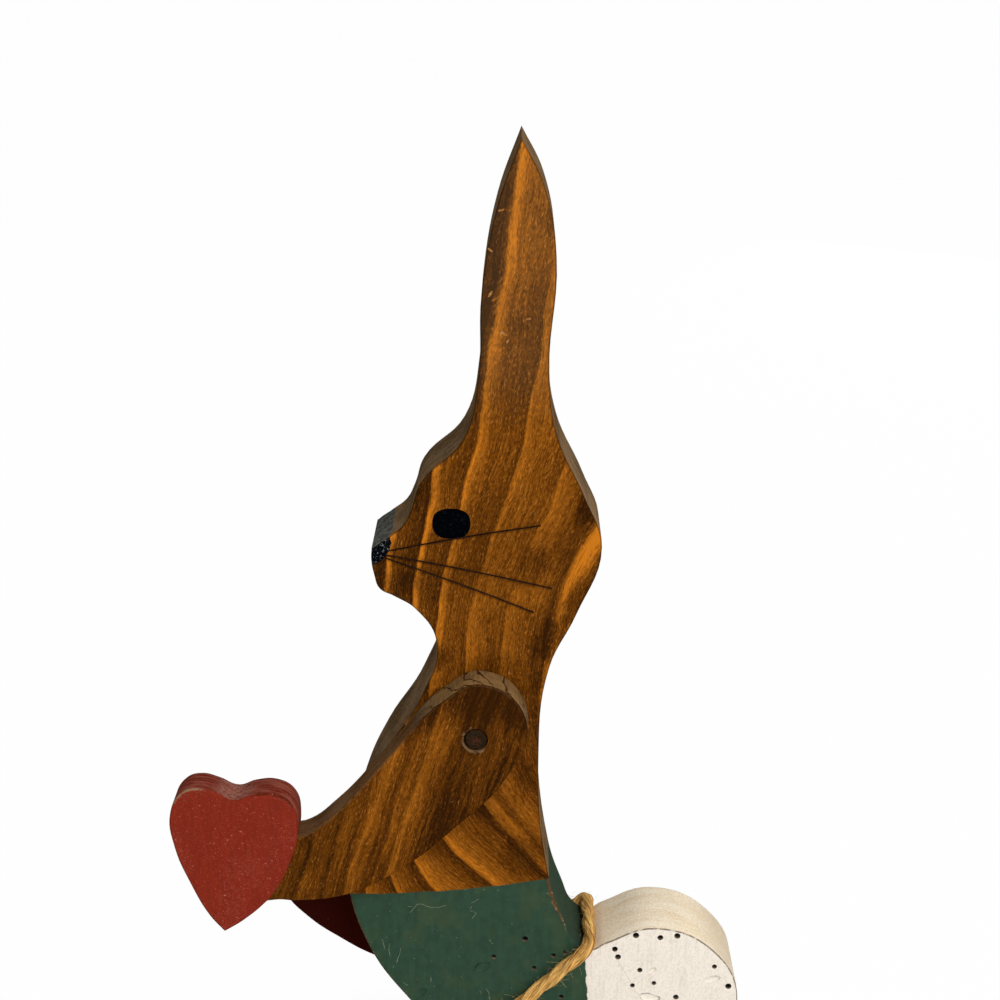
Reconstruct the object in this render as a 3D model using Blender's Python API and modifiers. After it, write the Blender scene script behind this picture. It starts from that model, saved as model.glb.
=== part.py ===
"""Folk-art wooden rabbit with two swinging arms, cut from pine boards and stood on a base block.

The rabbit faces -X and its show side faces -Y. Heights run up +Z from the underside of the base,
whose centre is the origin. Lengths are in metres and angles in degrees.
"""
import math

import bmesh
import bpy
from mathutils import Matrix, Vector

# Boards and the gap that is left between two pieces that touch
BOARD_THICKNESS = 0.019
ARM_THICKNESS = 0.008
SEAT_GAP = 0.0003

# Base block, screwed on from below
BASE_LENGTH = 0.105
BASE_WIDTH = 0.070
BASE_THICKNESS = 0.019
BASE_EDGE_ROUND = 0.002
SCREW_LENGTH = 0.032
SCREW_SHANK_DIAMETER = 0.004
SCREW_HEAD_DIAMETER = 0.008
SCREW_POINT_LENGTH = 0.005
SCREW_RECESS = 0.0006
SCREW_SPACING = 0.021
SCREW_CENTRE_X = 0.0035

# Body board, in four sections from the sole up, each with its own depth along X
LEG_LENGTH = 0.0470
FOOT_LENGTH = 0.0546
TOE_X = -0.0286
TORSO_LENGTH = 0.1106
TORSO_DEPTH = 0.0482
BELLY_X = -0.0307
HEAD_HEIGHT = 0.0484
HEAD_LENGTH = 0.0518
NOSE_X = -0.0233
EAR_LENGTH = 0.0655
EAR_WIDTH = 0.0167
EAR_X = 0.0010

# Tail, a round lobe that starts behind the notch for the twine
TAIL_RADIUS = 0.020
TAIL_LEAN = 137.7
NOTCH_DEPTH = 0.0011

# Shoulder pivot
SHOULDER_X = 0.0003
SHOULDER_DROP = 0.0203
DOWEL_DIAMETER = 0.005
BACK_ARM_DROP = 34.0
BACK_ARM_SCALE = 1.025

# Arm outline, from the shoulder
ARM_CROWN = 0.0138
ARM_BACK = 0.0115
ARM_UPPER_LENGTH = 0.0327
ARM_LOWER_LENGTH = 0.0303

# Heart, placed by its notch from the shoulder
HEART_OUT = 0.0557
HEART_DROP = 0.0157
HEART_WIDTH = 0.0299
HEART_DEPTH = 0.0354
HEART_LOBE_RISE = 0.0023
HEART_TILT = 6.5
PIN_DIAMETER = 0.003
PIN_LENGTH = 0.016

# Nose dab and whiskers
DAB_WIDTH = 0.0044
DAB_HEIGHT = 0.0054
DAB_THICKNESS = 0.0015
DAB_INSET = 0.0025
WHISKER_DIAMETER = 0.0004
# Name: rise of the root above the dab's centre, slope in degrees, length
WHISKERS = {
    "upper": (0.0013, 10.3, 0.0336),
    "middle": (-0.0001, -12.1, 0.0366),
    "lower": (-0.0011, -21.6, 0.0340),
}

# Twine round the waist, with its knot on the show side
TWINE_DIAMETER = 0.0035
TWINE_BEND_RADIUS = 0.0022
REAR_SEAT_LEAN = 95.0
FRONT_SEAT_LEAN = 195.0
KNOT_SHARE = 0.72
KNOT_LENGTH = 0.0078
KNOT_HEIGHT = 0.0062
STUB_LENGTH = 0.013
STUB_LEANS = (6.0, 54.0)
STUB_ROOT_OFFSET = 0.0012

# Outline points of each section: share of its depth from the front, share of its height, handle
SMOOTH = "AUTO"
CORNER = "VECTOR"
EAR_FRONT = [(0.551, 1.0, CORNER), (0.246, 0.784, SMOOTH), (0.046, 0.496, SMOOTH), (0.0, 0.217, SMOOTH)]
FACE = [
    (0.402, 1.0, SMOOTH),
    (0.222, 0.798, SMOOTH),
    (0.178, 0.664, SMOOTH),
    (0.142, 0.588, SMOOTH),
    (0.080, 0.534, SMOOTH),
    (0.006, 0.476, CORNER),
    (0.003, 0.424, SMOOTH),
    (0.015, 0.340, SMOOTH),
    (0.036, 0.275, SMOOTH),
    (0.100, 0.236, SMOOTH),
    (0.191, 0.172, SMOOTH),
    (0.282, 0.0, SMOOTH),
]
CHEST = [
    (0.381, 0.879, SMOOTH),
    (0.198, 0.748, SMOOTH),
    (0.086, 0.639, SMOOTH),
    (0.0, 0.466, SMOOTH),
    (0.094, 0.276, SMOOTH),
]
UNDER_BELLY = [(0.326, 0.118, SMOOTH), (0.558, 0.0, SMOOTH)]
LEG_FRONT = [(0.374, 0.766, SMOOTH), (0.460, 0.532, SMOOTH), (0.377, 0.340, SMOOTH)]
FOOT = [
    (0.066, 0.202, SMOOTH),
    (0.0, 0.085, SMOOTH),
    (0.057, 0.0, CORNER),
    (0.945, 0.0, CORNER),
    (1.0, 0.128, SMOOTH),
]
LEG_BACK = [(0.886, 0.468, SMOOTH), (0.97, 0.76, SMOOTH)]
# Degrees round the tail's centre, and the share of its radius there
TAIL_LINE = [
    (-128.0, 1.0),
    (-90.0, 1.02),
    (-45.0, 1.045),
    (0.0, 1.035),
    (45.0, 1.0),
    (90.0, 1.01),
    (127.0, 1.0),
]
BACK = [(1.13, 0.286, SMOOTH), (1.072, 0.342, SMOOTH), (1.0, 0.443, SMOOTH), (0.942, 0.750, SMOOTH)]
REAR_NOTCH = (1.21, 0.267, SMOOTH)
NAPE = [(0.99, 0.945, SMOOTH)]
HEAD_BACK = [(0.893, 0.143, SMOOTH), (1.0, 0.483, SMOOTH), (0.923, 0.727, SMOOTH), (0.803, 1.02, SMOOTH)]
EAR_BACK = [(0.922, 0.233, SMOOTH), (1.0, 0.62, SMOOTH), (0.838, 0.853, SMOOTH)]

# Heart outline from notch to tip: share of the half width, then of the lobe rise or of the depth
INNER_LOBE = [(0.27, 0.78), (0.6, 1.1), (0.875, 0.24)]
INNER_SIDE = [(1.005, 0.136), (0.936, 0.412), (0.645, 0.715), (0.298, 0.893)]
OUTER_LOBE = [(0.308, 0.62), (0.575, 0.88), (0.816, 0.2)]
OUTER_SIDE = [(0.975, 0.158), (0.864, 0.41), (0.594, 0.655), (0.262, 0.884)]

# Levels and places worked out from the sizes above
SOLE_Z = BASE_THICKNESS + SEAT_GAP
WAIST_Z = SOLE_Z + LEG_LENGTH
THROAT_Z = WAIST_Z + TORSO_LENGTH
CROWN_Z = THROAT_Z + HEAD_HEIGHT
SHOULDER_Z = THROAT_Z - SHOULDER_DROP
FACE_Y = BOARD_THICKNESS / 2
ARM_Y = FACE_Y + SEAT_GAP + ARM_THICKNESS / 2
TWINE_RADIUS = TWINE_DIAMETER / 2
TWINE_Y = FACE_Y + SEAT_GAP + TWINE_RADIUS
DAB_X = NOSE_X + DAB_INSET
DAB_Z = THROAT_Z + 0.444 * HEAD_HEIGHT
SHOW_SIDE = -1
FAR_SIDE = 1
CUT_OVERRUN = 0.001

COLOURS = {
    "stained_pine": (0.235, 0.105, 0.028),
    "grey_pine": (0.200, 0.120, 0.055),
    "red_paint": (0.240, 0.022, 0.016),
    "dowel_birch": (0.160, 0.080, 0.030),
    "black_enamel": (0.006, 0.007, 0.009),
    "bristle": (0.012, 0.010, 0.009),
    "jute": (0.420, 0.240, 0.080),
    "zinc": (0.550, 0.530, 0.480),
}


def clear_scene():
    for item in list(bpy.data.objects):
        bpy.data.objects.remove(item, do_unlink=True)


def new_collection(name):
    collection = bpy.data.collections.new(name)
    bpy.context.scene.collection.children.link(collection)
    return collection


def give_material(item, colour_name, roughness, metallic=0.0):
    material = bpy.data.materials.new(item.name)
    material.use_nodes = True
    shader = material.node_tree.nodes["Principled BSDF"]
    shader.inputs["Base Color"].default_value = (*COLOURS[colour_name], 1.0)
    shader.inputs["Roughness"].default_value = roughness
    shader.inputs["Metallic"].default_value = metallic
    item.data.materials.clear()
    item.data.materials.append(material)


def link(item, collection):
    collection.objects.link(item)
    return item


def hide_cutter(item):
    item.hide_render = True
    item.display_type = "WIRE"


def welded_mesh(curve_object, collection):
    """Turn a curve into a welded mesh object in the same place, and remove the curve."""
    bpy.context.view_layer.update()
    depsgraph = bpy.context.evaluated_depsgraph_get()
    mesh = bpy.data.meshes.new_from_object(curve_object.evaluated_get(depsgraph))
    sculpt = bmesh.new()
    sculpt.from_mesh(mesh)
    bmesh.ops.remove_doubles(sculpt, verts=sculpt.verts, dist=1e-6)
    bmesh.ops.recalc_face_normals(sculpt, faces=sculpt.faces)
    sculpt.to_mesh(mesh)
    sculpt.free()
    name = curve_object.name
    matrix = curve_object.matrix_world.copy()
    bpy.data.objects.remove(curve_object, do_unlink=True)
    item = link(bpy.data.objects.new(name, mesh), collection)
    item.matrix_world = matrix
    mesh.shade_smooth()
    mesh.set_sharp_from_angle(angle=math.radians(40))
    return item


def sawn_board(name, outline, thickness, centre_y, collection, hole=None, grow=0.0):
    """Saw an outline in the XZ plane out of a board; hole is (x, z, radius), grow widens the outline."""
    curve = bpy.data.curves.new(name, "CURVE")
    curve.dimensions = "2D"
    curve.fill_mode = "BOTH"
    curve.extrude = thickness / 2
    curve.offset = grow
    curve.resolution_u = 7
    add_outline(curve, outline)
    if hole:
        x, z, radius = hole
        add_outline(curve, round_outline(x, z, radius))
    board = link(bpy.data.objects.new(name, curve), collection)
    board.location = (0, centre_y, 0)
    board.rotation_euler = (math.pi / 2, 0, 0)
    return welded_mesh(board, collection)


def add_outline(curve, outline):
    spline = curve.splines.new("BEZIER")
    spline.bezier_points.add(len(outline) - 1)
    spline.use_cyclic_u = True
    for knot, (x, z, handle) in zip(spline.bezier_points, outline):
        knot.co = (x, z, 0)
        knot.handle_left_type = handle
        knot.handle_right_type = handle


def round_outline(x, z, radius):
    quarter_turns = [math.pi / 2 * quarter for quarter in range(4)]
    return [(x + radius * math.cos(a), z + radius * math.sin(a), SMOOTH) for a in quarter_turns]


def tube(name, points, diameter, collection):
    """A round rod or cord through the points, with closed ends."""
    curve = bpy.data.curves.new(name, "CURVE")
    curve.dimensions = "3D"
    curve.bevel_depth = diameter / 2
    curve.bevel_resolution = 2
    curve.use_fill_caps = True
    spline = curve.splines.new("POLY")
    spline.points.add(len(points) - 1)
    for knot, point in zip(spline.points, points):
        knot.co = (*point, 1.0)
    return link(bpy.data.objects.new(name, curve), collection)


def round_bar(name, diameter, length, matrix, collection, sides=32):
    """A cylinder along its local Z, centred, then placed by the matrix."""
    sculpt = bmesh.new()
    bmesh.ops.create_cone(sculpt, cap_ends=True, segments=sides, radius1=diameter / 2, radius2=diameter / 2,
                          depth=length)
    mesh = bpy.data.meshes.new(name)
    sculpt.to_mesh(mesh)
    sculpt.free()
    mesh.shade_smooth()
    mesh.set_sharp_from_angle(angle=math.radians(40))
    item = link(bpy.data.objects.new(name, mesh), collection)
    item.matrix_world = matrix
    return item


def turned(name, profile, place, collection, sides=24):
    """Turn a profile of (radius, height) about Z; the profile runs down its outer side."""
    mesh = bpy.data.meshes.new(name)
    verts = [(radius, 0, height) for radius, height in profile]
    edges = [(i, i + 1) for i in range(len(profile) - 1)]
    mesh.from_pydata(verts, edges, [])
    item = link(bpy.data.objects.new(name, mesh), collection)
    item.location = place
    screw = item.modifiers.new("Turn", "SCREW")
    screw.steps = sides
    screw.render_steps = sides
    screw.use_merge_vertices = True
    screw.merge_threshold = 1e-6
    return item


def cut(item, cutter):
    boolean = item.modifiers.new("Cut " + cutter.name, "BOOLEAN")
    boolean.operation = "DIFFERENCE"
    boolean.object = cutter
    boolean.solver = "EXACT"
    hide_cutter(cutter)


def section_points(rows, x, depth, z, height):
    return [(x + across * depth, z + up * height, handle) for across, up, handle in rows]


def leg_points(rows):
    return section_points(rows, TOE_X, FOOT_LENGTH, SOLE_Z, LEG_LENGTH)


def torso_points(rows):
    return section_points(rows, BELLY_X, TORSO_DEPTH, WAIST_Z, TORSO_LENGTH)


def head_points(rows):
    return section_points(rows, NOSE_X, HEAD_LENGTH, THROAT_Z, HEAD_HEIGHT)


def ear_points(rows):
    return section_points(rows, EAR_X, EAR_WIDTH, CROWN_Z, EAR_LENGTH)


def tail_points():
    """The round tail, from the crease under it to the notch, set off from the notch by its radius."""
    notch_x, notch_z, _ = torso_points([REAR_NOTCH])[0]
    lean = math.radians(TAIL_LEAN)
    reach = TAIL_RADIUS + NOTCH_DEPTH
    centre_x = notch_x - reach * math.cos(lean)
    centre_z = notch_z - reach * math.sin(lean)
    points = []
    for row, (degrees, share) in enumerate(TAIL_LINE):
        angle = math.radians(degrees)
        radius = share * TAIL_RADIUS
        handle = CORNER if row == 0 else SMOOTH
        points.append((centre_x + radius * math.cos(angle), centre_z + radius * math.sin(angle), handle))
    return points


def body_outline():
    front = ear_points(EAR_FRONT) + head_points(FACE) + torso_points(CHEST + UNDER_BELLY)
    lower = leg_points(LEG_FRONT + FOOT + LEG_BACK) + tail_points()
    rear = torso_points([REAR_NOTCH] + BACK + NAPE) + head_points(HEAD_BACK) + ear_points(EAR_BACK)
    return front + lower + rear


def screw_places():
    half = SCREW_SPACING / 2
    return {"base_screw_front": SCREW_CENTRE_X - half, "base_screw_rear": SCREW_CENTRE_X + half}


def build_body(parts, cutters):
    bore = (SHOULDER_X, SHOULDER_Z, DOWEL_DIAMETER / 2 + SEAT_GAP)
    board = sawn_board("body_board", body_outline(), BOARD_THICKNESS, 0.0, parts, hole=bore)
    pilot_diameter = SCREW_SHANK_DIAMETER + 2 * SEAT_GAP
    pilot_top = SCREW_RECESS + SCREW_LENGTH + SEAT_GAP
    pilot_length = pilot_top - SOLE_Z + CUT_OVERRUN
    for name, x in screw_places().items():
        place = Matrix.Translation((x, 0, pilot_top - pilot_length / 2))
        cut(board, round_bar(name + "_pilot", pilot_diameter, pilot_length, place, cutters, sides=24))
    give_material(board, "stained_pine", 0.5)
    dowel_length = 2 * (ARM_Y + ARM_THICKNESS / 2)
    across = Matrix.Translation((SHOULDER_X, 0, SHOULDER_Z)) @ Matrix.Rotation(math.pi / 2, 4, "X")
    dowel = round_bar("shoulder_dowel", DOWEL_DIAMETER, dowel_length, across, parts)
    give_material(dowel, "dowel_birch", 0.6)


def build_base(parts, cutters):
    sculpt = bmesh.new()
    bmesh.ops.create_cube(sculpt, size=1.0)
    bmesh.ops.scale(sculpt, vec=(BASE_LENGTH, BASE_WIDTH, BASE_THICKNESS), verts=sculpt.verts)
    mesh = bpy.data.meshes.new("base_board")
    sculpt.to_mesh(mesh)
    sculpt.free()
    base = link(bpy.data.objects.new("base_board", mesh), parts)
    base.location = (0, 0, BASE_THICKNESS / 2)
    rounding = base.modifiers.new("Eased edges", "BEVEL")
    rounding.width = BASE_EDGE_ROUND
    rounding.segments = 3
    give_material(base, "grey_pine", 0.6)
    head_radius = SCREW_HEAD_DIAMETER / 2
    shank_radius = SCREW_SHANK_DIAMETER / 2
    head_height = head_radius - shank_radius
    seat = SCREW_RECESS + SEAT_GAP
    sink = [
        (0, BASE_THICKNESS + CUT_OVERRUN),
        (shank_radius + SEAT_GAP, BASE_THICKNESS + CUT_OVERRUN),
        (shank_radius + SEAT_GAP, seat + head_height),
        (head_radius + SEAT_GAP, seat),
        (head_radius + SEAT_GAP, -CUT_OVERRUN),
        (0, -CUT_OVERRUN),
    ]
    wood_screw = [
        (0, SCREW_LENGTH),
        (shank_radius, SCREW_LENGTH - SCREW_POINT_LENGTH),
        (shank_radius, head_height),
        (head_radius, 0),
        (0, 0),
    ]
    for name, x in screw_places().items():
        cut(base, turned(name + "_sink", sink, (x, 0, 0), cutters))
        screw = turned(name, wood_screw, (x, 0, SCREW_RECESS), parts)
        give_material(screw, "zinc", 0.35, metallic=1.0)


def heart_half(lobe, flank, side):
    """One half of the heart from its notch to its tip, both left out."""
    half = side * HEART_WIDTH / 2
    points = [(x * half, z * HEART_LOBE_RISE, SMOOTH) for x, z in lobe]
    return points + [(x * half, -z * HEART_DEPTH, SMOOTH) for x, z in flank]


def heart_outline():
    """The heart from its notch, round the inner lobe to the tip and back, in the arm's frame."""
    inner = heart_half(INNER_LOBE, INNER_SIDE, 1)
    outer = heart_half(OUTER_LOBE, OUTER_SIDE, -1)
    drawn = [(0, 0, SMOOTH)] + inner + [(0, -HEART_DEPTH, CORNER)] + outer[::-1]
    tilt = math.radians(HEART_TILT)
    points = []
    for x, z, handle in drawn:
        across = x * math.cos(tilt) + z * math.sin(tilt)
        up = z * math.cos(tilt) - x * math.sin(tilt)
        points.append((across - HEART_OUT, up - HEART_DROP, handle))
    return points


def arm_outline():
    """The arm from the crown of the shoulder, down its back to the wrist and up its front edge.

    The wrist runs on into the heart, whose outline then copes the arm's end.
    """
    half = HEART_WIDTH / 2
    heart_x = -HEART_OUT
    heart_z = -HEART_DROP
    return [
        (0.12 * ARM_CROWN, ARM_CROWN, SMOOTH),
        (ARM_BACK, 0.36 * ARM_CROWN, SMOOTH),
        (0.62 * ARM_BACK, -0.69 * ARM_CROWN, SMOOTH),
        (-0.16 * ARM_LOWER_LENGTH, -0.75 * ARM_LOWER_LENGTH, SMOOTH),
        (-0.59 * ARM_LOWER_LENGTH, -1.12 * ARM_LOWER_LENGTH, SMOOTH),
        (-ARM_LOWER_LENGTH, -1.34 * ARM_LOWER_LENGTH, SMOOTH),
        (heart_x + 0.86 * half, heart_z - 0.753 * HEART_DEPTH, SMOOTH),
        (heart_x + 0.62 * half, heart_z - 0.747 * HEART_DEPTH, SMOOTH),
        (heart_x + 0.36 * half, heart_z - 0.763 * HEART_DEPTH, CORNER),
        (heart_x + 0.1 * half, heart_z - 0.6 * HEART_DEPTH, CORNER),
        (heart_x + 0.4 * half, heart_z - 0.28 * HEART_DEPTH, CORNER),
        (heart_x + 1.02 * half, heart_z - 0.265 * HEART_DEPTH, SMOOTH),
        (-ARM_UPPER_LENGTH, -0.59 * ARM_UPPER_LENGTH, SMOOTH),
        (-0.61 * ARM_UPPER_LENGTH, -0.14 * ARM_UPPER_LENGTH, SMOOTH),
        (-0.23 * ARM_UPPER_LENGTH, 0.69 * ARM_CROWN, SMOOTH),
    ]


def build_arm(side_name, side, drop, scale, parts, cutters):
    """One arm with its heart and the pin between them, hung on an empty at the shoulder."""
    bore = (0, 0, DOWEL_DIAMETER / 2 + SEAT_GAP)
    centre_y = side * ARM_Y
    arm_line = [(scale * x, scale * z, handle) for x, z, handle in arm_outline()]
    heart_line = [(scale * x, scale * z, handle) for x, z, handle in heart_outline()]
    arm = sawn_board(side_name + "_arm", arm_line, ARM_THICKNESS, centre_y, parts, hole=bore)
    heart = sawn_board(side_name + "_heart", heart_line, ARM_THICKNESS, centre_y, parts)
    cope_thickness = ARM_THICKNESS + 2 * CUT_OVERRUN
    cope = sawn_board(side_name + "_cope", heart_line, cope_thickness, centre_y, cutters, grow=SEAT_GAP)
    pin_x = scale * (0.84 * HEART_WIDTH / 2 - HEART_OUT)
    pin_z = scale * (-0.45 * HEART_DEPTH - HEART_DROP)
    along = Matrix.Translation((pin_x, centre_y, pin_z)) @ Matrix.Rotation(math.pi / 2, 4, "Y")
    pin = round_bar(side_name + "_heart_pin", PIN_DIAMETER, PIN_LENGTH, along, parts, sides=16)
    drill_diameter = PIN_DIAMETER + 2 * SEAT_GAP
    drill_length = PIN_LENGTH + 2 * SEAT_GAP
    drill = round_bar(side_name + "_pin_drill", drill_diameter, drill_length, along, cutters, sides=16)
    cut(arm, cope)
    cut(arm, drill)
    cut(heart, drill)
    give_material(arm, "stained_pine", 0.5)
    give_material(heart, "red_paint", 0.55)
    give_material(pin, "dowel_birch", 0.6)
    pivot = link(bpy.data.objects.new(side_name + "_shoulder_pivot", None), parts)
    pivot.location = (SHOULDER_X, 0, SHOULDER_Z)
    pivot.rotation_euler = (0, -math.radians(drop), 0)
    for item in (arm, heart, pin, cope, drill):
        item.parent = pivot


def build_nose(side_name, side, parts):
    """A raised dab of black paint on the snout, and the three whiskers stuck in it."""
    sculpt = bmesh.new()
    bmesh.ops.create_uvsphere(sculpt, u_segments=20, v_segments=12, radius=1.0)
    bmesh.ops.rotate(sculpt, matrix=Matrix.Rotation(math.pi / 2, 3, "X"), verts=sculpt.verts)
    bmesh.ops.scale(sculpt, vec=(DAB_WIDTH / 2, DAB_THICKNESS, DAB_HEIGHT / 2), verts=sculpt.verts)
    everything = list(sculpt.verts) + list(sculpt.edges) + list(sculpt.faces)
    bmesh.ops.bisect_plane(sculpt, geom=everything, dist=1e-7, plane_co=(0, 0, 0), plane_no=(0, -side, 0),
                           clear_outer=True)
    bmesh.ops.holes_fill(sculpt, edges=[edge for edge in sculpt.edges if edge.is_boundary])
    bmesh.ops.recalc_face_normals(sculpt, faces=sculpt.faces)
    mesh = bpy.data.meshes.new(side_name + "_nose_dab")
    sculpt.to_mesh(mesh)
    sculpt.free()
    mesh.shade_smooth()
    mesh.set_sharp_from_angle(angle=math.radians(40))
    dab = link(bpy.data.objects.new(side_name + "_nose_dab", mesh), parts)
    dab.location = (DAB_X, side * (FACE_Y + SEAT_GAP), DAB_Z)
    give_material(dab, "black_enamel", 0.2)
    whisker_y = side * (FACE_Y + SEAT_GAP + WHISKER_DIAMETER / 2)
    for level, (rise, slope, length) in WHISKERS.items():
        root = Vector((DAB_X + DAB_WIDTH / 2 + SEAT_GAP, whisker_y, DAB_Z + rise))
        angle = math.radians(slope)
        tip = root + length * Vector((math.cos(angle), 0, math.sin(angle)))
        whisker = tube(side_name + "_whisker_" + level, [root, tip], WHISKER_DIAMETER, parts)
        give_material(whisker, "bristle", 0.5)


def twine_seats():
    """Centres of the twine where it lies in the rear and the front notch, square to each notch's floor."""
    stand_off = TWINE_RADIUS + SEAT_GAP
    seats = []
    for floor, lean in ((REAR_NOTCH, REAR_SEAT_LEAN), (UNDER_BELLY[-1], FRONT_SEAT_LEAN)):
        x, z, _ = torso_points([floor])[0]
        angle = math.radians(lean)
        seats.append(Vector((x + stand_off * math.cos(angle), 0, z + stand_off * math.sin(angle))))
    return seats


def waist_route(rear, front):
    """Centre line of the twine, from one side of the knot round the waist to its other side."""
    run = front - rear
    length = run.length
    along = run.normalized()
    bend = TWINE_BEND_RADIUS
    knot_at = KNOT_SHARE * length
    clear = KNOT_LENGTH / 2 + SEAT_GAP

    def spot(distance, y):
        return rear + along * distance + Vector((0, y, 0))

    def corner(distance, y, start):
        turns = [math.radians(start + step * 22.5) for step in range(5)]
        return [spot(distance + bend * math.cos(a), y + bend * math.sin(a)) for a in turns]

    near_y = bend - TWINE_Y
    far_y = TWINE_Y - bend
    first = [spot(knot_at - clear, -TWINE_Y), spot((knot_at - clear) / 2, -TWINE_Y)]
    rear_turn = list(reversed(corner(bend, near_y, 180.0))) + list(reversed(corner(bend, far_y, 90.0)))
    far_run = [spot(length * share, TWINE_Y) for share in (0.25, 0.5, 0.75)]
    front_turn = list(reversed(corner(length - bend, far_y, 0.0)))
    front_turn += list(reversed(corner(length - bend, near_y, -90.0)))
    last = [spot(knot_at + clear, -TWINE_Y)]
    return first + rear_turn + far_run + front_turn + last


def build_twine(parts, cutters):
    rear, front = twine_seats()
    twine = tube("waist_twine", waist_route(rear, front), TWINE_DIAMETER, parts)
    give_material(twine, "jute", 0.9)
    along = (front - rear).normalized()
    lift = Vector((0, -(FACE_Y + SEAT_GAP + KNOT_HEIGHT / 2), 0))
    centre = rear + (front - rear) * KNOT_SHARE + lift
    turn = Matrix.Rotation(math.atan2(-along.z, along.x), 4, "Y")
    size = Matrix.Diagonal((KNOT_LENGTH / 2, KNOT_HEIGHT / 2, KNOT_HEIGHT / 2, 1))
    sculpt = bmesh.new()
    bmesh.ops.create_uvsphere(sculpt, u_segments=20, v_segments=12, radius=1.0, matrix=turn @ size)
    mesh = bpy.data.meshes.new("twine_knot")
    sculpt.to_mesh(mesh)
    sculpt.free()
    knot = link(bpy.data.objects.new("twine_knot", mesh), parts)
    knot.location = centre
    for index, lean in enumerate(STUB_LEANS):
        angle = math.radians(lean)
        fall = Vector((math.sin(angle), 0, -math.cos(angle)))
        root = Vector((centre.x + STUB_ROOT_OFFSET, -TWINE_Y, centre.z))
        stub = tube("stub_%d" % index, [root, root + fall * STUB_LENGTH], TWINE_DIAMETER, cutters)
        solid = welded_mesh(stub, cutters)
        join = knot.modifiers.new("Stub %d" % index, "BOOLEAN")
        join.operation = "UNION"
        join.object = solid
        join.solver = "EXACT"
        hide_cutter(solid)
    give_material(knot, "jute", 0.9)


def main():
    clear_scene()
    parts = new_collection("folk_rabbit")
    cutters = new_collection("cutters")
    build_base(parts, cutters)
    build_body(parts, cutters)
    build_arm("front", SHOW_SIDE, 0.0, 1.0, parts, cutters)
    build_arm("back", FAR_SIDE, BACK_ARM_DROP, BACK_ARM_SCALE, parts, cutters)
    build_nose("front", SHOW_SIDE, parts)
    build_nose("back", FAR_SIDE, parts)
    build_twine(parts, cutters)


main()
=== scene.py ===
"""Dresses the wooden rabbit with swinging arms: grain, paint, wear, twine and whiskers, and its studio."""

import math
import random

import bmesh
import bpy
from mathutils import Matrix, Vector, noise
from mathutils.bvhtree import BVHTree


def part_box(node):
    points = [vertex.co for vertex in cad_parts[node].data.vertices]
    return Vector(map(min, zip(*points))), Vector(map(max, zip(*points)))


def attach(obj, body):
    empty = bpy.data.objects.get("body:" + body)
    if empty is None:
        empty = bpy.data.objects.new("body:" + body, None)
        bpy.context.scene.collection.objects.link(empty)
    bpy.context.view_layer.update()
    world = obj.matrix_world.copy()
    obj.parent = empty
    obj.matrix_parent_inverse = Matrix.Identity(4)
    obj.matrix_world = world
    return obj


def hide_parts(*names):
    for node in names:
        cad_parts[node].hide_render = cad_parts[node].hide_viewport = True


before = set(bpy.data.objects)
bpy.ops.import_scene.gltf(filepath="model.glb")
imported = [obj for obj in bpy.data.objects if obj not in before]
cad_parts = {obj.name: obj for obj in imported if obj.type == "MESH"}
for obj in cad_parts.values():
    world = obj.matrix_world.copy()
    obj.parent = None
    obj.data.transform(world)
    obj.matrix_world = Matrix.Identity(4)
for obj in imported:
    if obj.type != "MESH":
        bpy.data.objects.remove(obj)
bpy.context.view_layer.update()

bl_info = {
    "name": "Wooden Rabbit",
    "version": (1, 0, 0),
    "blender": (4, 5, 0),
    "location": "3D View > Sidebar > Rabbit",
    "description": "A sawn wooden rabbit with two swinging arms, in worn stain and paint",
    "category": "Object",
}

# Places and widths on the object, in millimetres.
FACE_Y = 9.5
SHOULDER = (0.3, 156.6)
TAIL = (43.3, 81.5)
EYE = (-5.1, 205.9)
EYE_HALF = (4.25, 3.55)
SCRATCH_WIDTH = 0.055
CRACK_WIDTH = 0.10

# Lengths of the meshes, in metres: what counts as a joint and the gap left in it, and sizes of small pieces.
MM = 0.001
JOINT_REACH = 0.00045
JOINT_GAP = 0.00003
EAR_TIP = 0.005
BORE_REACH = 0.005
PEG_EASE = 0.0004
WHISKER = 0.00035
WHISKER_BOW = 0.0003
WHISKER_ROOT = 0.0016
WHISKER_HALF = 0.0002
TWINE_LENGTH = 0.11
TWINE_STEP = 0.0004
SCREW_RECESS = 0.0046

# Facets across an eased arris and round an eye, and the bend below which a board is shaded smooth.
EASE_STEPS = 3
EYE_STEPS = 48
SMOOTH_BELOW = math.radians(38)

# Sharp amber lines of the grain, as (millimetres across the board, tone there); each fades into the next.
HEAD_GRAIN = (
    (-34.0, 0.30), (-23.5, 0.16), (-23.1, 0.88), (-22.5, 0.80), (-21.9, 0.40), (-17.0, 0.18), (-16.6, 0.92),
    (-15.9, 0.84), (-15.2, 0.46), (-10.9, 0.30), (-10.5, 0.86), (-9.8, 0.74), (-8.6, 0.50), (-3.2, 0.38),
    (-2.8, 0.72), (-1.4, 0.60), (5.2, 0.40), (5.8, 0.62), (9.6, 0.48), (13.4, 0.36), (15.8, 0.24),
    (16.6, 0.62), (18.0, 0.90), (19.8, 0.68), (21.4, 0.36), (22.6, 0.26), (24.4, 0.42), (34.0, 0.14),
)
TORSO_GRAIN = (
    (-56.0, 0.50), (-52.0, 0.16), (-51.4, 0.86), (-42.6, 0.14), (-42.0, 0.82), (-33.2, 0.10), (-32.5, 0.98),
    (-28.0, 0.62), (-21.9, 0.08), (-21.0, 0.98), (-17.0, 0.58), (-7.2, 0.26), (-6.4, 0.02), (-5.2, 0.04),
    (-4.2, 0.62), (-2.0, 0.70), (0.6, 0.32), (2.0, 0.58), (5.0, 0.66), (8.6, 0.34), (11.0, 0.30),
    (12.0, 0.66), (34.0, 0.40),
)
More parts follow.
